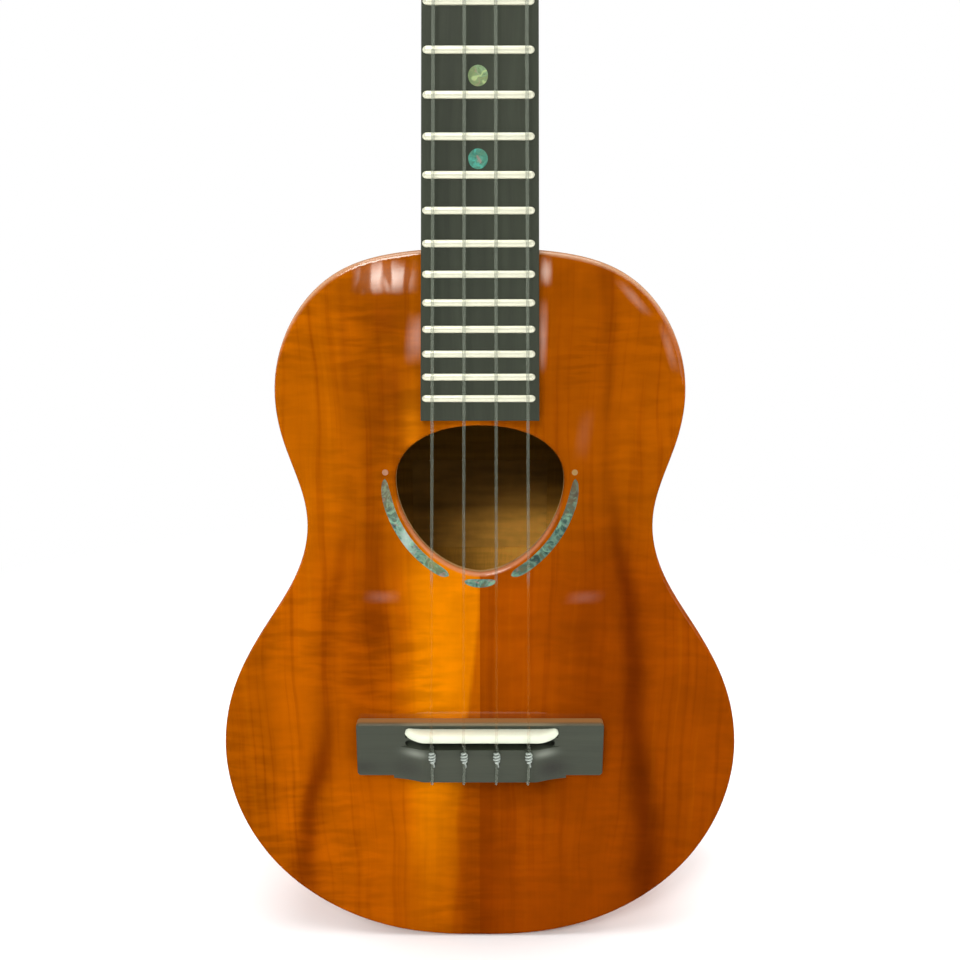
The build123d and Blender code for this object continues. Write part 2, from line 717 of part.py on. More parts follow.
with BuildPart() as bridge:
    with BuildSketch(Plane.XZ.offset(FACE)):
        with Locations((0, (BRIDGE_Z0 + BRIDGE_Z1) / 2)):
            RectangleRounded(2 * BRIDGE_X, BRIDGE_Z1 - BRIDGE_Z0, 1.6)
    extrude(amount=WING_H)
    fillet(bridge.faces().sort_by(Axis.Y)[0].edges(), radius=1.2)
    # raised tie block, scooped down to the wings at both ends
    with BuildSketch(Plane.XY.offset(TIE_Z0)):
        with BuildLine():
            Polyline((TIE_END_X, TIE_BASE_Y), (-TIE_END_X, TIE_BASE_Y), SCOOP_LEFT[0])
            Spline(*SCOOP_LEFT)
            Line(SCOOP_LEFT[-1], SCOOP_RIGHT[0])
            Spline(*SCOOP_RIGHT)
            Line(SCOOP_RIGHT[-1], (TIE_END_X, TIE_BASE_Y))
        make_face()
    extrude(amount=TIE_Z1 - TIE_Z0)
    # trough between the saddle wall and the tie block
    with BuildSketch(Plane.XZ.offset(FACE + TROUGH_H)):
        with Locations((0, (TIE_Z1 + TROUGH_Z1) / 2)):
            SlotOverall(TROUGH_LENGTH, TROUGH_Z1 - TIE_Z1)
    extrude(amount=10, mode=Mode.SUBTRACT)
    # saddle slot
    with BuildSketch(Plane.XZ.offset(FACE + SLOT_H)):
        with Locations((SADDLE_CX, (SADDLE_Z0 + SADDLE_Z1) / 2)):
            Rectangle(2 * SADDLE_X, SADDLE_Z1 - SADDLE_Z0)
    extrude(amount=10, mode=Mode.SUBTRACT)
    # string holes through the tie block
    with BuildSketch(Plane.XY.offset(TIE_Z0 - 1)):
        with Locations(*[(x, TIE_HOLE_Y) for x in SADDLE_STRING_X]):
            Circle(TIE_HOLE_R)
    extrude(amount=TIE_Z1 - TIE_Z0 + 2, mode=Mode.SUBTRACT)
save(bridge, "bridge")

# ------------------------------------------------------------------ saddle
SADDLE_MID = (SADDLE_Z0 + SADDLE_Z1) / 2   # about 3 mm of string compensation
SADDLE_TOP_Y = -FACE - 11.0
SADDLE_SAG = 1.5                           # drop of the crown at its two edges
SADDLE_EDGE_Y = SADDLE_TOP_Y + SADDLE_SAG
SADDLE_CROWN_R = (((SADDLE_Z1 - SADDLE_Z0) / 2) ** 2 + SADDLE_SAG ** 2) / (2 * SADDLE_SAG)
# Slope of both ends, (in from the end, down from the crown).
END_SLOPE = [(0.0, 5.6), (0.6, 4.1), (2.2, 2.3), (4.6, 0.8), (7.4, 0.1), (9.5, -0.02)]
RIGHT_END = [(SADDLE_CX + SADDLE_X - inward, SADDLE_TOP_Y + drop) for inward, drop in END_SLOPE]
LEFT_END = [(SADDLE_CX - SADDLE_X + inward, SADDLE_TOP_Y + drop) for inward, drop in END_SLOPE]

with BuildPart() as saddle:
    # bar with a round crown
    with BuildSketch(Plane.YZ.offset(SADDLE_CX)):
        with BuildLine():
            Line((-FACE - SLOT_H, SADDLE_Z0), (-FACE - SLOT_H, SADDLE_Z1))
            Line((-FACE - SLOT_H, SADDLE_Z1), (SADDLE_EDGE_Y, SADDLE_Z1))
            ThreePointArc((SADDLE_EDGE_Y, SADDLE_Z1), (SADDLE_TOP_Y, SADDLE_MID),
                          (SADDLE_EDGE_Y, SADDLE_Z0))
            Line((SADDLE_EDGE_Y, SADDLE_Z0), (-FACE - SLOT_H, SADDLE_Z0))
        make_face()
    extrude(amount=SADDLE_X, both=True)
    # both ends slope down to the wings
    with BuildSketch(Plane.XY.offset(SADDLE_Z0 - 1)):
        with BuildLine():
            Polyline(LEFT_END[0], (LEFT_END[0][0], -FACE), (RIGHT_END[0][0], -FACE), RIGHT_END[0])
            Spline(*RIGHT_END)
            Line(RIGHT_END[-1], LEFT_END[-1])
            Spline(*LEFT_END)
        make_face()
    extrude(amount=SADDLE_Z1 - SADDLE_Z0 + 2, mode=Mode.INTERSECT)
save(saddle, "saddle")

# ------------------------------------------------------------------ strings
POST_R = 2.95
POST_HOLE_H = 8.65               # cross hole over the head's face
WRAP_R = POST_R + STRING_R + 0.10
WRAP_H = 4.6                     # where the string meets the post
COIL_PITCH = 1.0
COIL_TURNS = 2.5
COIL_H = WRAP_H + 1.0            # start of the coils that turn with the post
NUT_BEND_Z = NUT_END_Z + NUT_BEND
BEND_CUTS = [1.1, 1.1, 1.1, 0.7]   # corners round the tie block, cut back by this much
NUT_CUT = 2.6


def rounded_path(points, cuts):
    """Straight runs with rounded corners, as a list of (curve class, its points)."""
    pieces = []
    last = points[0]
    for before, corner, after, cut in zip(points, points[1:], points[2:], cuts):
        bend_start = corner + (before - corner).normalized() * cut
        bend_end = corner + (after - corner).normalized() * cut
        pieces.append((Line, (last, bend_start)))
        pieces.append((Bezier, (bend_start, corner, bend_end)))
        last = bend_end
    pieces.append((Line, (last, points[-1])))
    return pieces


def tangent_corner(centre, radius, start, end):
    """Corner and cut of a run that wraps a circle on its -Y side; points are (y, z)."""
    def touch_angle(point, sign):
        dy, dz = point[0] - centre[0], point[1] - centre[1]
        return math.atan2(dy, dz) + sign * math.acos(radius / math.hypot(dy, dz))

    pairs = [(touch_angle(start, i), touch_angle(end, j)) for i in (-1, 1) for j in (-1, 1)]
    in_front = [pair for pair in pairs if math.sin(pair[0]) < 0 and math.sin(pair[1]) < 0]
    first, second = min(in_front, key=lambda pair: abs(pair[0] - pair[1]))
    middle = (first + second) / 2
    half = abs(first - second) / 2
    reach = radius / math.cos(half)
    corner = (centre[0] + reach * math.sin(middle), centre[1] + reach * math.cos(middle))
    return corner, radius * math.tan(half)


def turn_of(post_x):
    """+1 where the string winds anticlockwise seen from in front of the head, else -1."""
    return 1 if post_x < 0 else -1


def make_coil(lefthand):
    """Upright coil at the origin, with the tail that goes through the post."""
    with BuildPart() as coil:
        with BuildLine() as wind:
            Helix(pitch=COIL_PITCH, height=COIL_PITCH * COIL_TURNS, radius=WRAP_R,
                  lefthand=lefthand)
        with BuildSketch(Plane(origin=wind.line @ 0, z_dir=wind.line % 0)):
            Circle(STRING_R)
        sweep(path=wind.line, is_frenet=True)
        with BuildSketch(Plane(origin=(-WRAP_R - 0.9, 0, POST_HOLE_H - COIL_H),
                               x_dir=(0, 1, 0), z_dir=(1, 0, 0))):
            Circle(STRING_R)
        extrude(amount=2 * WRAP_R + 3.2)
    return coil.part


def make_string(name, saddle_x, nut_x, post_x, post_y):
    turn = turn_of(post_x)
    # the string reaches the post on its inner flank
    nut_point = Vector(nut_x, NUT_STRING_Y, NUT_BEND_Z)
    nut_local = HEAD.to_local_coords(nut_point)
    away = math.hypot(post_x - nut_local.X, post_y - nut_local.Y)
    lean = math.asin(WRAP_R / away)
    heading = math.atan2(post_y - nut_local.Y, post_x - nut_local.X) - turn * lean
    run = away * math.cos(lean)
    touch_x = nut_local.X + run * math.cos(heading)
    touch_y = nut_local.Y + run * math.sin(heading)
    touch = HEAD.from_local_coords((touch_x, touch_y, WRAP_H))

    # the last half turn is held against the post, below the moving coils
    touch_angle = math.atan2(touch_y - post_y, touch_x - post_x)

    def on_post(degrees):
        angle = touch_angle + turn * math.radians(degrees)
        return HEAD.from_local_coords((post_x + WRAP_R * math.cos(angle),
                                       post_y + WRAP_R * math.sin(angle), WRAP_H))

    # a short curve eases the straight run onto the post
    land_degrees = 14
    land_angle = touch_angle + turn * math.radians(land_degrees)
    land = on_post(land_degrees)
    land_dir = (HEAD.x_dir * -math.sin(land_angle) + HEAD.y_dir * math.cos(land_angle)) * turn
    run_dir = (touch - nut_point).normalized()
    ease = touch - run_dir * 4.0
    grip = (land - ease).length / 3

    # loop over the tie block, back through its hole and over the saddle
    over_y = -FACE - TIE_H - STRING_R - 0.05
    loop_x = saddle_x + 0.4
    loop_z = TIE_Z1 + STRING_R + 0.12
    rear_z = TIE_Z0 - STRING_R - 0.35
    exit_z = TIE_Z1 + 0.7
    crest, crest_cut = tangent_corner(
        (SADDLE_TOP_Y + SADDLE_CROWN_R, SADDLE_MID), SADDLE_CROWN_R + STRING_R + 0.04,
        (NUT_STRING_Y, NUT_BEND_Z), (TIE_HOLE_Y, exit_z))
    points = [
        Vector(loop_x, -FACE - TIE_H + 1.9, loop_z),
        Vector(loop_x, over_y, loop_z),
        Vector(saddle_x, over_y, rear_z),
        Vector(saddle_x, TIE_HOLE_Y, rear_z),
        Vector(saddle_x, TIE_HOLE_Y, exit_z),
        Vector(saddle_x, crest[0], crest[1]),
        nut_point,
        ease,
    ]
    with BuildPart() as string:
        with BuildLine() as route:
            for curve, curve_points in rounded_path(points, [*BEND_CUTS, crest_cut, NUT_CUT]):
                curve(*curve_points)
            Bezier(ease, ease + run_dir * grip, land - land_dir * grip, land)
            ThreePointArc(land, on_post(107), on_post(200))
        with BuildSketch(Plane(origin=route.line @ 0, z_dir=route.line % 0)):
            Circle(STRING_R)
        sweep(path=route.line)
    save(string, f"string_{name}")


COILS = {1: make_coil(lefthand=False), -1: make_coil(lefthand=True)}


def make_winding(name, post_x, post_y):
    """Coils that turn with the post, ending through its cross hole."""
    with BuildPart() as winding:
        with Locations(Plane(origin=HEAD.from_local_coords((post_x, post_y, COIL_H)),
                             x_dir=HEAD.x_dir, z_dir=HEAD.z_dir)):
            add(COILS[turn_of(post_x)])
    save(winding, f"string_winding_{name}")


for name, saddle_x, nut_x, post in zip(NAMES, SADDLE_STRING_X, NUT_STRING_X, POST_XY):
    make_string(name, saddle_x, nut_x, *post)
    make_winding(name, *post)

# ------------------------------------------------------------------ tuner sizes
# Heights are out of the head's face, so parts behind the head have negative ones.
RUN_FIT = 0.05                   # radial clearance of turning parts
POST_TOP = 12.5
PLATE_TH = 1.2
TAB_T = 1.2
TAB_R = 2.7
TAB_X = 6.1                      # post axis to the middle of each shaft tab
FERRULE_DEPTH = 8.0
FLANGE_T = 0.8
SCREW_HEAD_R = 2.0
SCREW_HEAD_H = 1.1
UNDER_Z = -HEAD_T - PLATE_TH     # rear face of the plates
GEAR_TEETH = 14
MODULE = 0.7
GEAR_PITCH_R = GEAR_TEETH * MODULE / 2
GEAR_TIP = 5.3
GEAR_ROOT = 4.0
GEAR_FACE = 2.4
GEAR_BORE = 1.8
WORM_PITCH = math.pi * MODULE
WORM_PITCH_R = 2.2
WORM_OFF = GEAR_PITCH_R + WORM_PITCH_R   # worm axis up the head from the post
WORM_CORE = 1.55
WORM_TIP = 2.85
WORM_LENGTH = 10.7
WORM_DROP = 3.1
WORM_Z = UNDER_Z - WORM_DROP
GEAR_Z0 = WORM_Z - GEAR_FACE / 2
GEAR_Z1 = UNDER_Z - 0.1
SHAFT_R = 1.3
SHAFT_INNER = 7.6                # shaft ends, from the post axis
SHAFT_END = 22.0
BUTTON_X = 17.5
COLLAR_OUT = 2.2                 # the button's collar starts this far inside the button

# ------------------------------------------------------------------ plates, ferrules, screws
with BuildPart() as tuner_plates:
    for post_x, post_y in POST_XY:
        with BuildSketch(HEAD.offset(-HEAD_T)):
            with Locations((post_x, post_y + sum(SCREW_DY) / 2)):
                RectangleRounded(13.4, 29.0, 3.0)
            with Locations((post_x, post_y)):
                Circle(POST_R + RUN_FIT, mode=Mode.SUBTRACT)
            with Locations(*[(post_x, post_y + dy) for dy in SCREW_DY]):
                Circle(SCREW_R, mode=Mode.SUBTRACT)
        extrude(amount=-PLATE_TH)
        # tabs that carry the worm shaft
        for end in (-1, 1):
            tab_x = post_x + end * TAB_X - TAB_T / 2
            tab = Plane(origin=HEAD.from_local_coords((tab_x, post_y + WORM_OFF, WORM_Z)),
                        x_dir=HEAD.y_dir, z_dir=HEAD.x_dir)
            with BuildSketch(tab):
                Circle(TAB_R)
                with Locations((0, WORM_DROP / 2)):
                    Rectangle(2 * TAB_R, WORM_DROP)
                Circle(SHAFT_R + RUN_FIT, mode=Mode.SUBTRACT)
            extrude(amount=TAB_T)
save(tuner_plates, "tuner_plates")

with BuildPart() as post_ferrules:
    for post in POST_XY:
        with BuildSketch(HEAD.offset(VENEER_T - FERRULE_DEPTH)):
            with Locations(post):
                Circle(FERRULE_R)
                Circle(POST_R + RUN_FIT, mode=Mode.SUBTRACT)
        extrude(amount=FERRULE_DEPTH)
        with BuildSketch(HEAD.offset(VENEER_T)):
            with Locations(post):
                Circle(FERRULE_R + 1.1)
                Circle(POST_R + RUN_FIT, mode=Mode.SUBTRACT)
        extrude(amount=FLANGE_T)
save(post_ferrules, "post_ferrules")

with BuildPart() as tuner_screws:
    under = HEAD.offset(UNDER_Z)
    for spot in SCREW_XY:
        with BuildSketch(under):
            with Locations(spot):
                Circle(SCREW_R)
        extrude(amount=PLATE_TH + SCREW_LENGTH)
        with BuildSketch(under):
            with Locations(spot):
                Circle(SCREW_HEAD_R)
        extrude(amount=-SCREW_HEAD_H)
    fillet(tuner_screws.faces().filter_by(
        lambda f: HEAD.to_local_coords(f.center()).Z < UNDER_Z - 1.05).edges(), radius=0.6)
    # cross slots
    for spot in SCREW_XY:
        with BuildSketch(under.offset(-SCREW_HEAD_H)):
            with Locations(spot):
                Rectangle(3.0, 0.5)
                Rectangle(0.5, 3.0)
        extrude(amount=0.5, mode=Mode.SUBTRACT)
save(tuner_screws, "tuner_screws")

# ------------------------------------------------------------------ posts, gears, worms, buttons
# Gear tooth pointing along +X, (out from the gear centre, across the tooth).
TOOTH = [
    (GEAR_ROOT - 0.4, -0.75), (GEAR_PITCH_R, -0.35), (GEAR_TIP, -0.2),
    (GEAR_TIP, 0.2), (GEAR_PITCH_R, 0.35), (GEAR_ROOT - 0.4, 0.75),
]
# Worm thread section, (out from the helix, along the worm).
HELIX_R = WORM_CORE - 0.05
THREAD_H = WORM_TIP - HELIX_R
THREAD = [(-0.2, -0.62), (THREAD_H, -0.22), (THREAD_H, 0.22), (-0.2, 0.62), (-0.2, -0.62)]
# Button outline, (out from its inner end, across).
BUTTON_OUTLINE = [
    (0, 0), (0.2, 3.0), (2.4, 6.2), (6.5, 8.3), (11.0, 7.6), (13.8, 4.2), (14.5, 0),
    (13.8, -4.2), (11.0, -7.6), (6.5, -8.3), (2.4, -6.2), (0.2, -3.0),
]

# Upright worm at the origin, with one thread space facing the gear (+X here) at mid length.
with BuildPart() as worm_blank:
    with BuildSketch(Plane.XY.offset(-WORM_LENGTH / 2)):
        Circle(WORM_CORE)
    extrude(amount=WORM_LENGTH)
    with BuildLine() as lead:
        Helix(pitch=WORM_PITCH, height=4 * WORM_PITCH, radius=HELIX_R,
              center=(0, 0, -2 * WORM_PITCH))
    with BuildSketch(Plane(origin=lead.line @ 0, x_dir=(1, 0, 0), z_dir=lead.line % 0)):
        with BuildLine():
            Polyline(*THREAD)
        make_face()
    sweep(path=lead.line, is_frenet=True)


def make_post(name, post_x, post_y):
    with BuildPart() as post:
        with BuildSketch(HEAD.offset(GEAR_Z1)):
            with Locations((post_x, post_y)):
                Circle(POST_R)
        extrude(amount=POST_TOP - GEAR_Z1)
        # spigot through the gear, with a disc behind it
        with BuildSketch(HEAD.offset(GEAR_Z0 - 0.6)):
            with Locations((post_x, post_y)):
                Circle(GEAR_BORE)
        extrude(amount=GEAR_Z1 - GEAR_Z0 + 0.6)
        with BuildSketch(HEAD.offset(GEAR_Z0)):
            with Locations((post_x, post_y)):
                Circle(GEAR_BORE + 0.9)
        extrude(amount=-0.9)
        fillet(post.faces().sort_by(Axis((0, 0, 0), HEAD.z_dir))[-1].edges(), radius=0.8)
        # cross hole for the string
        with BuildSketch(Plane(origin=HEAD.from_local_coords((post_x - 8, post_y, POST_HOLE_H)),
                               x_dir=HEAD.y_dir, z_dir=HEAD.x_dir)):
            Circle(STRING_R + 0.3)
        extrude(amount=16, mode=Mode.SUBTRACT)
    save(post, f"tuner_post_{name}")


def make_gear(name, post_x, post_y):
    with BuildPart() as gear:
        with BuildSketch(HEAD.offset(GEAR_Z0)):
            with Locations((post_x, post_y)):
                Circle(GEAR_ROOT)
            # a tooth space faces the worm
            for tooth in range(GEAR_TEETH):
                angle = 90 + (tooth + 0.5) * 360 / GEAR_TEETH
                with Locations(Location((post_x, post_y, 0), (0, 0, angle))):
                    Polygon(*TOOTH, align=None)
            with Locations((post_x, post_y)):
                Circle(GEAR_BORE, mode=Mode.SUBTRACT)
        extrude(amount=GEAR_FACE)
        with BuildSketch(HEAD.offset(GEAR_Z0 + GEAR_FACE)):
            with Locations((post_x, post_y)):
                Circle(3.4)
                Circle(GEAR_BORE, mode=Mode.SUBTRACT)
        extrude(amount=GEAR_Z1 - GEAR_Z0 - GEAR_FACE)
    save(gear, f"tuner_gear_{name}")


def make_shaft(name, post_x, post_y):
    """Worm on its shaft, which runs out past the edge of the head."""
    axis = Plane(origin=HEAD.from_local_coords((post_x, post_y + WORM_OFF, WORM_Z)),
                 x_dir=HEAD.y_dir * -1, z_dir=(1, 0, 0))
    with BuildPart() as shaft:
        with Locations(axis):
            add(worm_blank.part)
        with BuildSketch(axis.offset(-SHAFT_INNER if post_x > 0 else -SHAFT_END)):
            Circle(SHAFT_R)
        extrude(amount=SHAFT_INNER + SHAFT_END)
    save(shaft, f"tuner_shaft_{name}")


def make_button(name, post_x, post_y):
    """Oval button pressed on the end of the shaft."""
    side = -1 if post_x < 0 else 1
    button_x = post_x + side * BUTTON_X
    flat = Plane(origin=HEAD.from_local_coords((button_x, post_y + WORM_OFF, WORM_Z)),
                 x_dir=(side, 0, 0), z_dir=HEAD.z_dir)
    collar = Plane(origin=flat.origin - HEAD.x_dir * side * COLLAR_OUT,
                   x_dir=HEAD.y_dir, z_dir=HEAD.x_dir * side)
    with BuildPart() as button:
        with BuildSketch(flat):
            with BuildLine():
                Spline(*BUTTON_OUTLINE, periodic=True)
            make_face()
        extrude(amount=3.6, both=True)
        flat_faces = button.faces().filter_by(Plane(origin=(0, 0, 0), z_dir=HEAD.z_dir))
        fillet(flat_faces.edges(), radius=2.4)
        with BuildSketch(collar):
            Circle(2.9)
        extrude(amount=4.5)
        with BuildSketch(collar):
            Circle(SHAFT_R)
        extrude(amount=COLLAR_OUT + SHAFT_END - BUTTON_X, mode=Mode.SUBTRACT)
    save(button, f"tuner_button_{name}")


for name, post in zip(NAMES, POST_XY):
    make_post(name, *post)
    make_gear(name, *post)
    make_shaft(name, *post)
    make_button(name, *post)
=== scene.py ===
import json
import math
import bpy
import bmesh
from mathutils import Vector, Matrix


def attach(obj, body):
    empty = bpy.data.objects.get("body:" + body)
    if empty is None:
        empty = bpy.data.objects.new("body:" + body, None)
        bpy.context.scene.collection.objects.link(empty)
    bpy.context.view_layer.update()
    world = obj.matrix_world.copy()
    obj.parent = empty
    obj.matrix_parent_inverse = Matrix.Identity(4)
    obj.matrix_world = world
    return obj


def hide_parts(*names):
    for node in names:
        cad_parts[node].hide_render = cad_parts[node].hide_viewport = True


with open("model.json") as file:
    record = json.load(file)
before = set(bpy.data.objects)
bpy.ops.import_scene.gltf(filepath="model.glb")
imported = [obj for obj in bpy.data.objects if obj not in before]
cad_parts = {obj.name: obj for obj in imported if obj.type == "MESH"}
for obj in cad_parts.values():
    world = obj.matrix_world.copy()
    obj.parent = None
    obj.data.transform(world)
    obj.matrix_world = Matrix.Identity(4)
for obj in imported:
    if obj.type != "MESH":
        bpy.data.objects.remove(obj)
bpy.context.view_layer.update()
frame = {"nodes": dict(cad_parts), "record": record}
nodes = frame["nodes"]


scene = bpy.context.scene
scene.view_settings.view_transform = "Standard"
scene.view_settings.look = "None"
scene.view_settings.exposure = 0.0
scene.view_settings.gamma = 1.0

# ------------------------------------------------------------------ small node language
MM = 0.001


def lin(r, g, b):
    f = lambda c: c / 12.92 if c <= 0.04045 else ((c + 0.055) / 1.055) ** 2.4
    return (f(r / 255.0), f(g / 255.0), f(b / 255.0), 1.0)


class Mat:
    def __init__(self, name):
        self.m = bpy.data.materials.new(name)
        self.m.use_nodes = True
        self.t = self.m.node_tree
        self.t.nodes.clear()
        self.out = self.t.nodes.new("ShaderNodeOutputMaterial")
        self.p = self.t.nodes.new("ShaderNodeBsdfPrincipled")
        self.t.links.new(self.p.outputs[0], self.out.inputs["Surface"])
        self._xyz = None

    def put(self, sock, v):
        if isinstance(v, bpy.types.NodeSocket):
            self.t.links.new(v, sock)
        else:
            if hasattr(sock.default_value, "__len__") and not hasattr(v, "__len__"):
                v = (v,) * len(sock.default_value)
            if hasattr(sock.default_value, "__len__") and len(sock.default_value) == 3 and len(v) == 4:
                v = v[:3]
            sock.default_value = v

    def math(self, op, a, b=None, c=None, clamp=False):
        n = self.t.nodes.new("ShaderNodeMath")
        n.operation = op
        n.use_clamp = clamp
        self.put(n.inputs[0], a)
        if b is not None:
            self.put(n.inputs[1], b)
        if c is not None:
            self.put(n.inputs[2], c)
        return n.outputs[0]

    def add(self, a, b):
        return self.math("ADD", a, b)

    def sub(self, a, b):
        return self.math("SUBTRACT", a, b)

    def mul(self, a, b):
        return self.math("MULTIPLY", a, b)

    def xyz(self):
        """Place in the row frame, in millimetres."""
        if self._xyz is None:
            tc = self.t.nodes.new("ShaderNodeTexCoord")
            sc = self.t.nodes.new("ShaderNodeVectorMath")
            sc.operation = "SCALE"
            sc.inputs["Scale"].default_value = 1000.0
            self.t.links.new(tc.outputs["Object"], sc.inputs[0])
            sep = self.t.nodes.new("ShaderNodeSeparateXYZ")
            self.t.links.new(sc.outputs[0], sep.inputs[0])
            self._xyz = (sep.outputs[0], sep.outputs[1], sep.outputs[2])
        return self._xyz

    def vec(self, x=0.0, y=0.0, z=0.0):
        n = self.t.nodes.new("ShaderNodeCombineXYZ")
        for s, v in zip(n.inputs, (x, y, z)):
            self.put(s, v)
        return n.outputs[0]

    def noise(self, v, scale=1.0, detail=2.0, rough=0.5, distort=0.0, out=0):
        n = self.t.nodes.new("ShaderNodeTexNoise")
        self.t.links.new(v, n.inputs["Vector"])
        n.inputs["Scale"].default_value = scale
        n.inputs["Detail"].default_value = detail
        n.inputs["Roughness"].default_value = rough
        n.inputs["Distortion"].default_value = distort
        return n.outputs[out]

    def voronoi(self, v, scale=1.0, feature="F1", out="Distance", rand=1.0):
        n = self.t.nodes.new("ShaderNodeTexVoronoi")
        n.feature = feature
        self.t.links.new(v, n.inputs["Vector"])
        n.inputs["Scale"].default_value = scale
        n.inputs["Randomness"].default_value = rand
        return n.outputs[out]

    def remap(self, v, a, b, c=0.0, d=1.0, smooth=True):
        n = self.t.nodes.new("ShaderNodeMapRange")
        n.interpolation_type = "SMOOTHSTEP" if smooth else "LINEAR"
        n.clamp = True
        self.put(n.inputs["Value"], v)
        for k, x in (("From Min", a), ("From Max", b), ("To Min", c), ("To Max", d)):
            n.inputs[k].default_value = x
        return n.outputs[0]

    def gauss(self, v, centre, width):
        d = self.math("DIVIDE", self.sub(v, centre), width)
        return self.math("POWER", 2.718281828, self.mul(self.mul(d, d), -1.0))

    def mix(self, f, a, b, blend="MIX"):
        n = self.t.nodes.new("ShaderNodeMix")
        n.data_type = "RGBA"
        n.blend_type = blend
        n.clamp_factor = True
        self.put(n.inputs[0], f)
        self.put(n.inputs[6], a)
        self.put(n.inputs[7], b)
        return n.outputs[2]

    def ramp(self, f, stops, interp="LINEAR"):
        n = self.t.nodes.new("ShaderNodeValToRGB")
        r = n.color_ramp
        r.interpolation = interp
        while len(r.elements) < len(stops):
            r.elements.new(0.5)
        for e, (pos, col) in zip(r.elements, stops):
            e.position = pos
            e.color = col
        self.put(n.inputs[0], f)
        return n.outputs[0]

    def curve(self, v, stops, smooth=True):
        """Value that runs through (place, value) stops; values may be any size."""
        lo, hi = stops[0][0], stops[-1][0]
        top = max(abs(b) for _, b in stops) or 1.0
        f = self.math("DIVIDE", self.sub(v, lo), hi - lo, clamp=True)
        r = self.ramp(f, [((a - lo) / (hi - lo), (b / top * 0.5 + 0.5,) * 3 + (1.0,)) for a, b in stops], "EASE" if smooth else "LINEAR")
        return self.mul(self.sub(r, 0.5), 2.0 * top)

    def scale(self, col, k):
        n = self.t.nodes.new("ShaderNodeVectorMath")
        n.operation = "SCALE"
        self.put(n.inputs[0], col)
        self.put(n.inputs["Scale"], k)
        return n.outputs[0]

    def bump(self, height, depth_mm, strength=1.0):
        n = self.t.nodes.new("ShaderNodeBump")
        n.inputs["Strength"].default_value = strength
        n.inputs["Distance"].default_value = depth_mm * MM
        self.t.links.new(height, n.inputs["Height"])
        return n.outputs[0]

    def set(self, **kw):
        for k, v in kw.items():
            self.put(self.p.inputs[k.replace("_", " ")], v)
        return self.m


KOA_LEVEL = 0.74


def side_of(M, x):
    """0 on the left half, 1 on the right half."""
    return M.math("GREATER_THAN", x, 0.0)


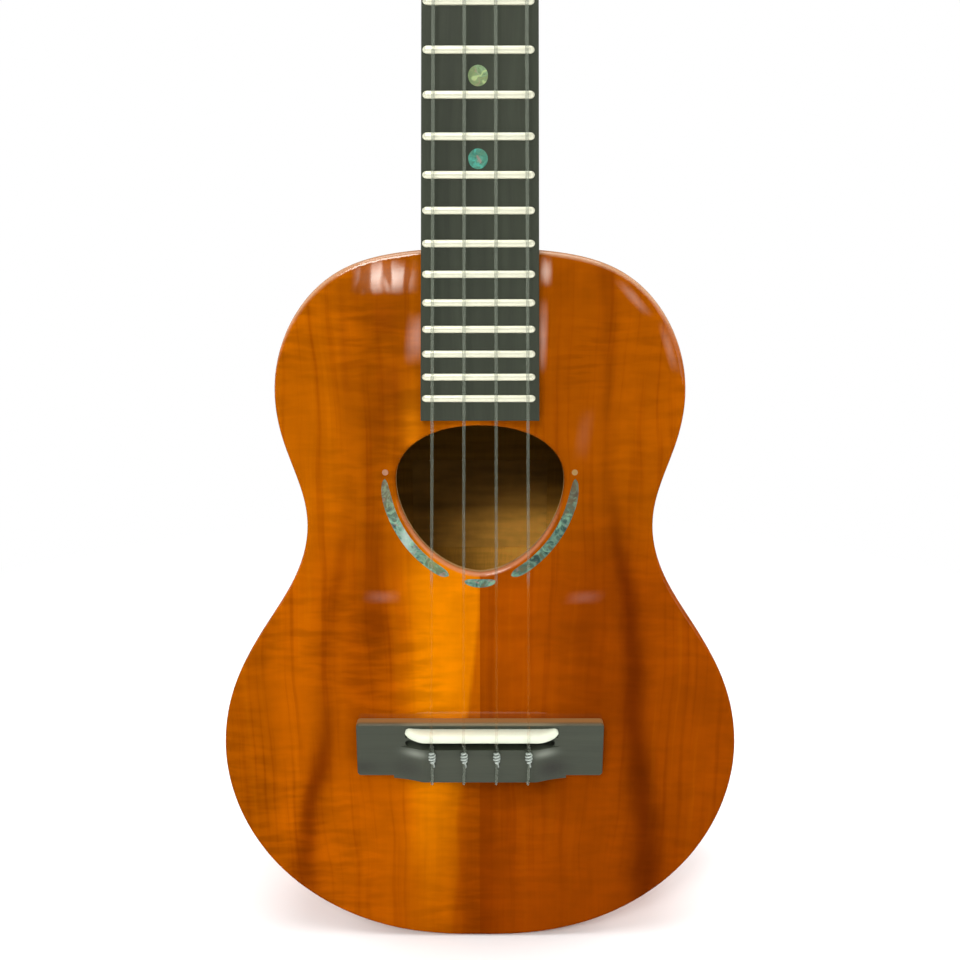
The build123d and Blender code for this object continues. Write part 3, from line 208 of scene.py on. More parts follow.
# ------------------------------------------------------------------ koa, soundboard
def koa_top():
    M = Mat("koa_top")
    x, y, z = M.xyz()
    s = M.math("ABSOLUTE", x)
    right = side_of(M, x)
    left = M.sub(1.0, right)
    w1 = M.noise(M.vec(M.mul(s, 0.012), 3.0, M.mul(z, 0.0055)), 1.0, 2.0)
    w2 = M.noise(M.vec(M.mul(s, 0.05), 9.0, M.mul(z, 0.02)), 1.0, 2.0)
    w3 = M.noise(M.vec(M.mul(x, 0.09), 19.0, M.mul(z, 0.035)), 1.0, 3.0)
    sw = M.add(s, M.add(M.mul(M.sub(w1, 0.5), 16.0), M.mul(M.sub(w2, 0.5), 5.0)))
    sd = M.add(s, M.add(M.mul(M.sub(w2, 0.5), 7.0), M.mul(M.sub(w3, 0.5), 5.0)))
    grain = M.noise(M.vec(M.mul(sw, 1.9), 0.0, M.mul(z, 0.045)), 1.0, 3.0, 0.55)
    streak = M.noise(M.vec(M.mul(sw, 0.30), M.mul(right, 3.0), M.mul(z, 0.006)), 1.0, 3.0, 0.55)
    mottle = M.noise(M.vec(M.mul(x, 0.055), 4.0, M.mul(z, 0.045)), 1.0, 3.0, 0.55)
    curl_warp = M.noise(M.vec(M.mul(x, 0.05), 1.0, M.mul(z, 0.05)), 1.0, 2.0)
    curl = M.noise(M.vec(M.mul(x, 0.05), 2.0, M.add(M.mul(z, 0.26), M.mul(curl_warp, 1.2))), 1.0, 2.4, 0.5)
    curl_mask = M.remap(M.noise(M.vec(M.mul(x, 0.02), 7.0, M.mul(z, 0.018)), 1.0, 2.0), 0.36, 0.6, 0.25, 1.0)
    lower = M.remap(z, 95.0, 55.0)
    # painted sheen: the left half is painted brighter than the right, standing in for the koa's chatoyance under these
    # lamps
    c_left = M.mix(lower, lin(190, 98, 2), lin(196, 97, 2))
    c_right = M.mix(lower, lin(172, 85, 2), lin(163, 73, 2))
    col = M.mix(right, c_left, c_right)
    # soft colour bands along the grain
    col = M.mix(M.mul(M.remap(streak, 0.50, 0.72), 0.55), col, M.mix(right, lin(158, 70, 2), lin(140, 58, 2)))
    col = M.mix(M.mul(M.remap(streak, 0.46, 0.28), 0.4), col, M.mix(right, lin(210, 112, 3), lin(180, 88, 3)))
    # redder towards the lower edge
    col = M.mix(M.remap(z, -30.0, -100.0, 0.0, 0.45), col, M.mix(right, lin(180, 84, 2), lin(150, 62, 2)))
    # painted chatoyant sheen: a pale band beside the seam on the left half, where the koa's figure catches the light
    seam = M.curve(z, [(-110, -11.0), (-72, -9.8), (-28, -6.8), (10, -3.4), (48, 0.4), (110, 0.4)], False)
    seam = M.add(seam, M.mul(M.sub(w3, 0.5), M.remap(z, 50.0, -20.0, 0.0, 7.0)))
    strong = M.curve(z, [(-110, 0.12), (-74, 0.40), (-46, 0.66), (-24, 0.84), (4, 1.0), (50, 1.0), (64, 0.86), (78, 0.34), (98, 0.0)], False)
    reach = M.add(M.mul(M.sub(w2, 0.5), 9.0), M.mul(M.sub(w3, 0.5), 10.0))
    sheen_fan = M.mul(M.remap(M.add(x, reach), -35.0, -20.0), M.remap(M.sub(x, seam), -2.2, 0.6, 1.0, 0.0))
    sheen_fan = M.mul(sheen_fan, M.mul(strong, M.remap(M.sub(x, seam), -13.0, -2.0, 1.0, 0.80)))
    col = M.mix(M.mul(sheen_fan, left), col, lin(245, 139, 1))
    # shade on both sides of the seam below the bridge
    low = M.mul(M.gauss(M.add(x, M.mul(M.sub(w3, 0.5), 6.0)), -2.0, 11.0), M.curve(z, [(-110, 0.75), (-70, 0.7), (-40, 0.5), (-18, 0.15), (10, 0.0)], False))
    col = M.mix(low, col, lin(128, 50, 1))
    # broad darker strip outside the fan
    broad = M.mul(M.gauss(sd, 48.0, 13.0), M.curve(z, [(-60, 0.0), (-10, 0.42), (15, 0.64), (32, 0.56), (70, 0.36), (95, 0.1), (120, 0.0)], False))
    col = M.mix(broad, col, M.mix(right, lin(150, 62, 1), lin(138, 56, 1)))
    # lighter wood beside the seam on the right half, and over its upper bout
    col = M.scale(col, M.add(1.0, M.mul(right, M.add(M.mul(M.gauss(x, 16.0, 13.0), M.curve(z, [(-100, 0.10), (-50, 0.10), (-28, 0.02), (0, 0.16), (60, 0.20), (80, 0.1), (110, 0.0)], False)),
                                                     M.mul(M.remap(z, 96.0, 112.0), 0.10)))))
    col = M.scale(col, M.add(1.0, M.mul(M.mul(M.gauss(x, -64.0, 8.0), M.gauss(z, 88.0, 20.0)), 0.14)))
    # the rim of the left half is deeper in colour
    col = M.scale(col, M.sub(1.0, M.mul(M.mul(M.remap(s, 80.0, 92.0), left), M.remap(z, 80.0, 40.0, 0.0, 0.22))))
    # long dark streaks, book matched
    c1 = M.curve(z, [(-110, 77.0), (-74, 73.0), (-33, 68.7), (0, 64.0), (30, 62.0), (55, 60.2), (76, 54.5), (108, 50.5), (195, 46.5)], False)
    c1 = M.add(c1, M.mul(left, M.remap(z, -20.0, -45.0, 0.0, 3.0)))
    wide = M.mul(M.curve(z, [(-110, 10.0), (-74, 9.0), (0, 5.6), (79, 4.4), (108, 3.6), (195, 3.2)], False), M.sub(1.0, M.mul(left, 0.28)))
    k_right = M.curve(z, [(-110, 0.78), (-74, 0.82), (0, 0.80), (60, 0.78), (84, 0.5), (108, 0.26), (165, 0.34), (195, 0.55)], False)
    k_left = M.curve(z, [(-110, 0.35), (-80, 0.66), (-46, 0.80), (-18, 0.80), (8, 0.36), (35, 0.36), (55, 0.46), (84, 0.22), (108, 0.12), (195, 0.18)], False)
    core = M.gauss(sd, c1, wide)
    col = M.mix(M.mul(core, M.mix(right, k_left, k_right)), col, M.mix(right, lin(118, 42, 2), lin(98, 34, 2)))
    # patches beside the hole
    d2 = M.mul(M.gauss(sd, 42.0, 6.0), M.curve(z, [(22, 0.0), (42, 0.72), (60, 0.5), (110, 0.46), (140, 0.5), (160, 0.35), (185, 0.4)], False))
    col = M.mix(M.mul(d2, M.add(0.50, M.mul(left, 0.50))), col, M.mix(right, lin(118, 47, 1), lin(126, 52, 2)))
    d3 = M.mul(M.gauss(sd, 30.0, 6.5), M.curve(z, [(92, 0.0), (108, 0.62), (128, 0.5), (145, 0.35), (172, 0.5), (188, 0.4)], False))
    col = M.mix(M.mul(d3, M.add(0.62, M.mul(left, 0.30))), col, lin(124, 52, 2))
    for px, pz, wx, wz, k in ((-36.0, 165.0, 5.0, 7.0, 0.55), (-33.5, 140.0, 4.6, 10.0, 0.50), (-40.0, 124.0, 4.5, 9.0, 0.25), (-51.5, 150.0, 1.8, 34.0, 0.35)):
        col = M.mix(M.mul(M.mul(M.gauss(x, px, wx), M.gauss(z, pz, wz)), k), col, lin(134, 58, 6))
    col = M.mix(M.mul(M.mul(M.gauss(x, -26.0, 3.6), M.gauss(z, 124.0, 15.0)), 0.75), col, lin(226, 126, 8))
    # the bridge's shade on the board below it
    under = M.mul(M.curve(z, [(-46, 0.0), (-38, 0.35), (-31, 1.0), (-24, 1.0)], False), M.remap(z, -22.0, -24.0))
    col = M.mix(M.mul(M.mul(under, M.mul(M.remap(x, -12.0, -2.0), M.remap(x, 40.0, 26.0))), 0.45), col, lin(84, 30, 1))
    # pores, mottle and curl
    for px, pz, wx, wz, k in ((-48.9, 157.5, 6.0, 18.0, 0.12), (-34.4, 139.0, 5.0, 8.0, -0.10), (26.7, 130.0, 6.0, 14.0, 0.12),
                              (40.7, 175.0, 5.0, 10.0, -0.17), (-85.5, 40.6, 6.0, 9.0, -0.15), (-65.2, 40.6, 7.0, 8.0, -0.12),
                              (-10.8, -33.0, 4.0, 8.0, -0.20), (-30.2, -47.0, 6.0, 18.0, 0.14), (60.2, 57.0, 5.0, 9.0, 0.13),
                              (63.8, -33.0, 6.0, 10.0, -0.12)):
        col = M.scale(col, M.add(1.0, M.mul(M.mul(M.gauss(x, px, wx), M.gauss(z, pz, wz)), k)))
    col = M.scale(col, M.remap(grain, 0.25, 0.75, 1.018, 0.98, smooth=False))
    col = M.scale(col, M.remap(mottle, 0.3, 0.7, 0.91, 1.09))
    depth = M.mul(curl_mask, M.add(M.remap(z, 90.0, 130.0, 0.07, 0.11), M.mul(left, 0.08)))
    wave = M.mul(M.sub(M.remap(curl, 0.34, 0.66), 0.5), 2.0)
    col = M.scale(col, M.add(1.0, M.mul(wave, depth)))
    bars = M.remap(M.noise(M.vec(M.mul(x, 0.05), 16.0, M.add(M.mul(z, 0.42), M.mul(curl_warp, 1.4))), 1.0, 2.0, 0.5), 0.47, 0.62)
    place = M.mul(M.gauss(x, 40.0, 14.0), M.gauss(z, 150.0, 17.0))
    place = M.add(place, M.mul(M.gauss(x, -44.0, 14.0), M.gauss(z, 158.0, 16.0)))
    col = M.mix(M.mul(M.mul(bars, place), 0.30), col, lin(122, 52, 2))
    # painted highlight where the hole's rounded edge and the upper rim of the board turn up toward the overhead lamp
    face = M.t.nodes.new("ShaderNodeNewGeometry")
    up = M.t.nodes.new("ShaderNodeSeparateXYZ")
    M.t.links.new(face.outputs["Normal"], up.inputs[0])
    lip_highlight = M.mul(M.remap(up.outputs[2], 0.10, 0.5), M.mul(M.remap(s, 36.0, 33.0), M.remap(z, 104.0, 86.0)))
    col = M.mix(M.mul(lip_highlight, 0.75), col, lin(226, 148, 104))
    # painted highlight on the upper rim's roundover, pale where it faces up
    rim = M.mul(M.remap(up.outputs[2], 0.08, 0.45), M.remap(z, 120.0, 175.0))
    col = M.mix(M.mul(rim, 0.8), col, lin(222, 172, 134))
    # the board is bare on its inner side
    nrm = M.t.nodes.new("ShaderNodeNewGeometry")
    sep = M.t.nodes.new("ShaderNodeSeparateXYZ")
    M.t.links.new(nrm.outputs["True Normal"], sep.inputs[0])
    inner = M.remap(sep.outputs[1], 0.35, 0.75)
    col = M.mix(inner, col, lin(150, 96, 48))
    col = M.scale(col, KOA_LEVEL)
    return M.set(Base_Color=col, Roughness=0.5, Coat_Weight=M.sub(1.0, inner), Coat_Roughness=0.0, Coat_IOR=1.5,
                 Specular_IOR_Level=0.0)


# ------------------------------------------------------------------ other woods
def plank(name, base, dark, light, along="z", grain=1.6, contrast=0.16, rough=0.4, coat=0.0, curl_amount=0.0, seed=0.0, spec=0.4,
          coat_rough=0.0, bare=None, matched=False):
    M = Mat(name)
    x, y, z = M.xyz()
    x0 = x
    if matched:
        x = M.math("ABSOLUTE", x)
    if along == "z":
        a, b, c = x, y, z
    elif along == "x":
        a, b, c = z, y, x
    else:
        a, b, c = x, z, y
    w = M.noise(M.vec(M.mul(a, 0.02), M.add(M.mul(b, 0.02), seed), M.mul(c, 0.008)), 1.0, 2.0)
    a2 = M.add(a, M.mul(M.sub(w, 0.5), 14.0))
    b2 = M.add(b, M.mul(M.sub(w, 0.5), 9.0))
    fine = M.noise(M.vec(M.mul(a2, grain), M.mul(b2, grain), M.add(M.mul(c, 0.04), seed)), 1.0, 5.0, 0.62)
    slow = M.noise(M.vec(M.mul(a2, 0.16), M.mul(b2, 0.16), M.add(M.mul(c, 0.006), seed)), 1.0, 3.0, 0.5)
    col = M.mix(M.remap(slow, 0.5, 0.75), base, dark)
    col = M.mix(M.mul(M.remap(slow, 0.48, 0.28), 0.7), col, light)
    col = M.scale(col, M.remap(fine, 0.25, 0.75, 1.0 + contrast * 0.6, 1.0 - contrast, smooth=False))
    if curl_amount:
        curl = M.noise(M.vec(M.mul(a2, 0.04), M.mul(b2, 0.04), M.add(M.mul(c, 0.19), seed)), 1.0, 2.5, 0.5)
        col = M.scale(col, M.add(1.0, M.mul(M.sub(M.remap(curl, 0.35, 0.65), 0.5), curl_amount * 2)))
    if bare:
        # unfinished on the side that faces into the body
        nrm = M.t.nodes.new("ShaderNodeNewGeometry")
        sep = M.t.nodes.new("ShaderNodeSeparateXYZ")
        M.t.links.new(nrm.outputs["True Normal"], sep.inputs[0])
        inner = M.remap(sep.outputs[1], -0.35, -0.75)
        rows = M.noise(M.vec(M.mul(x, 0.02), 5.0, M.mul(z, 0.22)), 1.0, 3.0, 0.6)
        bare_wood_and_light = M.scale(bare, M.mul(M.remap(fine, 0.3, 0.7, 1.06, 0.9), M.remap(rows, 0.35, 0.65, 0.82, 1.12)))
        # painted light and shade inside the body: bright low down where lamp light falls in through the soundhole, in
        # shade higher up, and brighter to the right within the lit patch
        bare_wood_and_light = M.scale(bare_wood_and_light, M.curve(z, [(0, 1.3), (62, 1.5), (69, 1.3), (75, 0.66), (88, 0.38), (106, 0.2)], False))
        bare_wood_and_light = M.scale(bare_wood_and_light, M.mix(M.remap(z, 86.0, 74.0), 1.0, M.remap(x0, -8.0, 18.0, 0.78, 1.5)))
        col = M.mix(inner, col, bare_wood_and_light)
        coat = M.mul(M.sub(1.0, inner), coat)
    M.set(Base_Color=col, Roughness=M.remap(fine, 0.3, 0.7, rough - 0.04, rough + 0.06), Specular_IOR_Level=spec,
          Normal=M.bump(fine, 0.03, 0.35))
    if coat:
        M.set(Coat_Weight=coat, Coat_Roughness=coat_rough, Coat_IOR=1.5)
    return M.m


def bent_side(name, base, dark, light):
    """Strip bent round the outline: the grain keeps its height across the rim and runs along it."""
    M = Mat(name)
    x, y, z = M.xyz()
    w = M.noise(M.vec(M.mul(x, 0.010), M.mul(y, 0.02), M.mul(z, 0.010)), 1.0, 2.0)
    yy = M.add(y, M.mul(M.sub(w, 0.5), 22.0))
    fine = M.noise(M.vec(M.mul(x, 0.02), M.mul(yy, 1.7), M.mul(z, 0.02)), 1.0, 4.0, 0.6)
    slow = M.noise(M.vec(M.mul(x, 0.006), M.mul(yy, 0.13), M.mul(z, 0.006)), 1.0, 3.0, 0.5)
    curl = M.noise(M.vec(M.mul(x, 0.16), M.mul(y, 0.035), M.mul(z, 0.16)), 1.0, 2.5, 0.5)
    col = M.mix(M.mul(M.remap(slow, 0.52, 0.74), 0.8), base, dark)
    col = M.mix(M.mul(M.remap(slow, 0.48, 0.28), 0.7), col, light)
    col = M.scale(col, M.remap(fine, 0.25, 0.75, 1.05, 0.92, smooth=False))
    col = M.scale(col, M.add(1.0, M.mul(M.sub(M.remap(curl, 0.36, 0.64), 0.5), 0.20)))
    return M.set(Base_Color=col, Roughness=0.5, Specular_IOR_Level=0.0, Coat_Weight=1.0, Coat_Roughness=0.06, Coat_IOR=1.5,
                 Normal=M.bump(fine, 0.02, 0.2))


def shell_mat():
    M = Mat("shell")
    x, y, z = M.xyz()
    v = M.vec(x, 0.0, z)
    sheet = M.noise(v, 0.16, 3.0, 0.55, 1.2)
    fire = M.noise(v, 0.24, 2.0, 0.5, 1.5)
    tone = M.curve(z, [(0, 0.55), (110, 0.5), (215, 1.0), (228, 1.0), (242, 0.0), (256, 0.0), (300, 0.4), (350, 0.7)], False)
    col = M.ramp(sheet, [(0.30, lin(24, 52, 48)), (0.40, lin(54, 94, 84)), (0.48, lin(112, 150, 128)), (0.54, lin(70, 106, 90)),
                         (0.62, lin(104, 106, 76)), (0.70, lin(48, 76, 64)), (0.80, lin(30, 46, 42))])
    disc = M.remap(z, 120.0, 180.0)
    col = M.mix(M.mul(M.remap(fire, 0.52, 0.66), M.add(0.62, M.mul(disc, 0.3))), col, M.mix(tone, lin(186, 206, 146), lin(96, 196, 176)))
    col = M.mix(M.mul(disc, 0.45), col, M.mix(tone, lin(168, 192, 128), lin(72, 168, 146)))
    pink = M.remap(M.noise(v, 0.3, 2.0, 0.5, 1.0), 0.60, 0.70)
    col = M.mix(M.mul(pink, 0.5), col, lin(186, 128, 128))
    lines = M.remap(M.noise(v, 0.9, 2.0, 0.5, 2.5), 0.60, 0.68)
    col = M.mix(M.mul(lines, 0.45), col, lin(30, 48, 44))
    col = M.mix(M.mul(M.remap(z, 84.0, 98.0), M.mul(M.sub(1.0, disc), 0.55)), col, lin(118, 92, 62))
    col = M.scale(col, M.sub(0.92, M.mul(M.mul(M.remap(x, -6.0, 14.0), M.sub(1.0, disc)), 0.26)))
    band = M.sub(1.0, disc)
    # painted highlight on the nacre at the lower left of the left band
    nacre_highlight = M.mul(M.mul(M.gauss(x, -29.0, 3.6), M.gauss(z, 79.0, 7.0)), M.mul(band, M.remap(sheet, 0.40, 0.58, 0.35, 1.0)))
    col = M.mix(M.mul(nacre_highlight, 0.8), col, lin(176, 200, 190))
    olive = M.mul(M.mul(M.gauss(x, -18.0, 3.6), M.gauss(z, 71.0, 4.5)), band)
    col = M.mix(M.mul(olive, 0.55), col, lin(146, 152, 78))
    return M.set(Base_Color=col, Roughness=0.3, Coat_Weight=1.0, Coat_Roughness=0.0, Metallic=0.1, Specular_IOR_Level=0.3,
                 Normal=M.bump(sheet, 0.05, 0.4))


def smooth_mat(name, col, rough, metallic=0.0, coat=0.0, vary=0.05, spec=0.5, scale=0.4, sss=0.0, bump_mm=0.01):
    M = Mat(name)
    x, y, z = M.xyz()
    n = M.noise(M.vec(x, y, z), scale, 3.0, 0.6)
    f = M.noise(M.vec(x, y, z), scale * 9, 2.0, 0.6)
    c = M.scale(col, M.remap(n, 0.3, 0.7, 1.0 - vary, 1.0 + vary))
    M.set(Base_Color=c, Roughness=M.remap(f, 0.3, 0.7, rough * 0.85, rough * 1.15), Metallic=metallic, Specular_IOR_Level=spec,
          Coat_Weight=coat, Coat_Roughness=0.08, Normal=M.bump(f, bump_mm, 0.3))
    if sss:
        M.set(Subsurface_Weight=sss)
        M.p.inputs["Subsurface Scale"].default_value = 0.002
    return M.m


def brushed(name, col, rough):
    M = Mat(name)
    x, y, z = M.xyz()
    f = M.noise(M.vec(M.mul(x, 0.6), M.mul(y, 8.0), M.mul(z, 8.0)), 1.0, 3.0, 0.6)
    c = M.scale(col, M.remap(f, 0.3, 0.7, 0.93, 1.05))
    return M.set(Base_Color=c, Roughness=M.remap(f, 0.3, 0.7, rough * 0.8, rough * 1.25), Metallic=1.0, Normal=M.bump(f, 0.01, 0.4))


def nylon():
    M = Mat("string_nylon")
    x, y, z = M.xyz()
    f = M.noise(M.vec(M.mul(x, 2.0), M.mul(y, 2.0), M.mul(z, 0.3)), 1.0, 2.0)
    # painted tint: between the saddle and the hole the string is coloured orange, standing in for the koa's light seen
    # through the clear nylon
    tone = M.mix(M.remap(z, 62.0, 68.0), M.mix(M.remap(z, 0.0, -6.0), lin(176, 112, 26), lin(126, 134, 120)), lin(126, 134, 120))
    M.set(Base_Color=M.scale(tone, M.remap(f, 0.3, 0.7, 0.92, 1.05)), Roughness=0.4, Specular_IOR_Level=0.2,
          Alpha=M.curve(z, [(-30, 0.42), (-9.6, 0.45), (-7.4, 0.12), (2, 0.05), (58, 0.06), (66, 0.17), (120, 0.18), (135, 0.27), (425, 0.32), (440, 0.6)], False))
    return M.m


def knot_mat():
    M = Mat("string_knot")
    x, y, z = M.xyz()
    f = M.noise(M.vec(x, y, z), 1.2, 2.0)
    return M.set(Base_Color=M.scale(lin(178, 188, 180), M.remap(f, 0.3, 0.7, 0.92, 1.05)), Roughness=0.3, Specular_IOR_Level=0.5, Alpha=0.85)


KOA_TOP = koa_top()
KOA_BACK = plank("koa_back", lin(152, 70, 4), lin(106, 42, 3), lin(182, 92, 6), "z", 1.7, 0.12, 0.5, 1.0, 0.10, 3.0, 0.0, 0.06, lin(184, 130, 50), True)
KOA_SIDE = bent_side("koa_side", lin(158, 76, 5), lin(112, 46, 4), lin(184, 96, 8))
KOA_HEAD = plank("koa_head", lin(164, 76, 4), lin(112, 44, 3), lin(196, 100, 6), "z", 1.7, 0.12, 0.5, 1.0, 0.10, 21.0, 0.0, 0.06)
NECK_WOOD = plank("neck_wood", lin(122, 62, 27), lin(96, 46, 18), lin(144, 80, 38), "z", 2.2, 0.16, 0.5, 0.5, 0.0, 31.0, 0.2, 0.12)
DARK_WOOD = plank("dark_wood", lin(51, 56, 44), lin(43, 48, 37), lin(57, 63, 50), "z", 2.4, 0.10, 0.5, 0.0, 0.0, 41.0, 0.25)
BRIDGE_WOOD = plank("bridge_wood", lin(57, 62, 50), lin(50, 55, 43), lin(63, 68, 55), "x", 2.4, 0.08, 0.5, 0.0, 0.0, 45.0, 0.3)
def dress_bridge(m):
    """Painted highlight along the top edge, paler at the crest behind the saddle, and painted light and shade on the
    scoops and wings beside the tie block.
    """
    M = Mat.__new__(Mat)
    M.m, M.t, M._xyz = m, m.node_tree, None
    M.p = next(n for n in M.t.nodes if n.type == "BSDF_PRINCIPLED")
    base = M.p.inputs["Base Color"].links[0].from_socket
    x, y, z = M.xyz()
    s = M.math("ABSOLUTE", x)
    face = M.t.nodes.new("ShaderNodeNewGeometry")
    up = M.t.nodes.new("ShaderNodeSeparateXYZ")
    M.t.links.new(face.outputs["Normal"], up.inputs[0])
    # painted highlight on the top edge where it faces up to the lamp, warm low down and paler at the crest behind the
    # saddle
    edge = M.mul(M.remap(up.outputs[2], 0.12, 0.55), M.remap(z, -3.0, -0.4))
    crest_light = M.mix(M.remap(s, 36.0, 24.0), lin(76, 72, 54), lin(116, 108, 82))
    edge_light_tint = M.mix(M.remap(y, -73.1, -70.2), crest_light, lin(156, 108, 56))
    col = M.mix(M.mul(edge, M.remap(s, 61.0, 50.0, 0.5, 0.82)), base, edge_light_tint)
    # painted highlight (glint) on the scoops, and painted shade below them
    glint = M.mul(M.gauss(s, 26.6, 4.6), M.gauss(z, -11.6, 1.7))
    col = M.mix(M.mul(glint, 0.85), col, lin(128, 134, 122))
    shade = M.mul(M.gauss(s, 30.0, 6.5), M.gauss(z, -19.0, 4.6))
    col = M.mix(M.mul(shade, M.add(0.42, M.mul(M.math("GREATER_THAN", x, 0.0), 0.30))), col, lin(28, 26, 20))
    # painted shade at the foot of the left wing
    foot_shade = M.mul(M.gauss(x, -50.0, 9.0), M.gauss(z, -19.0, 3.4))
    col = M.mix(M.mul(foot_shade, 0.5), col, lin(28, 26, 20))
    M.put(M.p.inputs["Base Color"], col)


dress_bridge(BRIDGE_WOOD)
INNER_WOOD = plank("inner_wood", lin(186, 140, 84), lin(160, 112, 62), lin(206, 164, 108), "z", 1.2, 0.16, 0.6, 0.0, 0.0, 51.0)
INNER_X = plank("inner_wood_x", lin(186, 140, 84), lin(160, 112, 62), lin(206, 164, 108), "x", 1.2, 0.16, 0.6, 0.0, 0.0, 57.0)
SHELL = shell_mat()
BONE = smooth_mat("bone", lin(222, 230, 208), 0.35, 0.0, 0.0, 0.02, 0.3, 0.3, 0.0)
CREAM = smooth_mat("cream_inlay", lin(160, 108, 74), 0.35, 0.0, 0.0, 0.06)


def dress_dots(m):
    """The left end dot is rosy and the right one golden."""
    M = Mat.__new__(Mat)
    M.m, M.t, M._xyz = m, m.node_tree, None
    M.p = next(n for n in M.t.nodes if n.type == "BSDF_PRINCIPLED")
    base = M.p.inputs["Base Color"].links[0].from_socket
    x, y, z = M.xyz()
    M.put(M.p.inputs["Base Color"], M.mix(M.math("GREATER_THAN", x, 0.0), base, lin(150, 112, 52)))


dress_dots(CREAM)
FRET = smooth_mat("fret_metal", lin(226, 226, 202), 0.34, 0.45, 0.0, 0.02, 0.5, 0.8)
CHROME = smooth_mat("tuner_metal", lin(186, 187, 188), 0.24, 1.0, 0.0, 0.03, 0.5, 0.6)
BRASS = brushed("gear_brass", lin(176, 140, 78), 0.3)
PEARL = smooth_mat("button_pearl", lin(204, 196, 172), 0.22, 0.0, 0.0, 0.05, 0.5, 0.12, 0.0)
NYLON = nylon()
KNOT = knot_mat()
def paper():
    M = Mat("label_paper")
    x, y, z = M.xyz()
    n = M.noise(M.vec(x, y, z), 0.12, 3.0, 0.6)
    age = M.noise(M.vec(M.mul(x, 0.03), 3.0, M.mul(z, 0.2)), 1.0, 2.0)
    col = M.scale(lin(184, 132, 54), M.mul(M.remap(n, 0.3, 0.7, 0.9, 1.06), M.remap(age, 0.35, 0.65, 0.82, 1.08)))
    # painted light and shade on the label: the same lit patch through the soundhole as on the back, bright low down,
    # in shade higher up, brighter to the right
    col = M.scale(col, M.curve(z, [(0, 1.3), (62, 1.5), (69, 1.3), (75, 0.66), (88, 0.38), (106, 0.2)], False))
    col = M.scale(col, M.mix(M.remap(z, 86.0, 74.0), 1.0, M.remap(x, -8.0, 18.0, 0.78, 1.5)))
    return M.set(Base_Color=col, Roughness=0.85, Specular_IOR_Level=0.1)


PAPER = paper()

by_slot = {
    "koa_back": KOA_BACK, "koa_head": KOA_HEAD, "neck_wood": NECK_WOOD, "dark_wood": DARK_WOOD, "inner_wood": INNER_WOOD,
    "shell": SHELL, "bone": BONE, "cream_inlay": CREAM, "fret_metal": FRET, "tuner_metal": CHROME, "gear_brass": BRASS,
    "button_pearl": PEARL, "string_nylon": NYLON, "label_paper": PAPER, "koa_top": KOA_TOP,
}
slots = {s["node"]: s["material_slot"] for s in frame["record"]["subparts"]}
special = {"side_left": KOA_SIDE, "side_right": KOA_SIDE, "bridge": BRIDGE_WOOD, "upper_transverse_brace": INNER_X,
           "lower_transverse_brace": INNER_X, "upper_back_brace": INNER_X, "lower_back_brace": INNER_X, "bridge_plate": INNER_X}
for name, o in nodes.items():
    o.data.materials.clear()
    o.data.materials.append(special.get(name, by_slot[slots[name]]))



# ------------------------------------------------------------------ finer pieces
def smooth_object(name, bm, mat, stands_for=None, body="instrument"):
    me = bpy.data.meshes.new(name)
    bmesh.ops.recalc_face_normals(bm, faces=bm.faces)
    bm.to_mesh(me)
    bm.free()
    for f in me.polygons:
        f.use_smooth = True
    ob = bpy.data.objects.new(name, me)
    scene.collection.objects.link(ob)
    me.materials.append(mat)
    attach(ob, body)
    if stands_for:
        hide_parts(*stands_for)
    return ob


def loft(bm, rings, cap=True, closed=True):
    """Skins a list of rings of points, all with the same count."""
    rows = [[bm.verts.new(p) for p in r] for r in rings]
    n = len(rows[0])
    for a, b in zip(rows, rows[1:]):
        for i in range(n if closed else n - 1):
            j = (i + 1) % n
            bm.faces.new((a[i], a[j], b[j], b[i]))
    if cap:
        bm.faces.new(list(reversed(rows[0])))
        bm.faces.new(rows[-1])


# fret wires with a round crown and round ends
FACE_Y, BOARD_TOP = -0.068, -0.073
bm = bmesh.new()
for n in range(1, 21):
    zf = 0.432 * 2.0 ** (-n / 12.0)
    half = 0.0225 - 0.01733 * (zf - 0.1275) - 0.0010
    w, h, r = 0.00135, 0.00105, 0.0016
    steps = [0.0, 0.04, 0.12, 0.25, 0.42, 0.62, 0.82, 1.0]
    xs = [(-half + r * t, math.sqrt(max(0.0, 1 - (1 - t) ** 2))) for t in steps]
    xs += [(half * k / 6.0, 1.0) for k in range(-4, 5)]
    xs += [(half - r * t, math.sqrt(max(0.0, 1 - (1 - t) ** 2))) for t in reversed(steps)]
    rings = []
    for px, k in xs:
        k = max(k, 0.03)
        ring = []
        for i in range(13):
            a = math.pi * i / 12
            ring.append((px - 0.0005, BOARD_TOP + 0.00002 - h * (0.25 + 0.75 * k) * k * math.sin(a) ** 0.85, zf - w * k * math.cos(a)))
        rings.append(ring)
    loft(bm, rings)
frets_fine = smooth_object("frets_fine", bm, FRET, ("frets",))


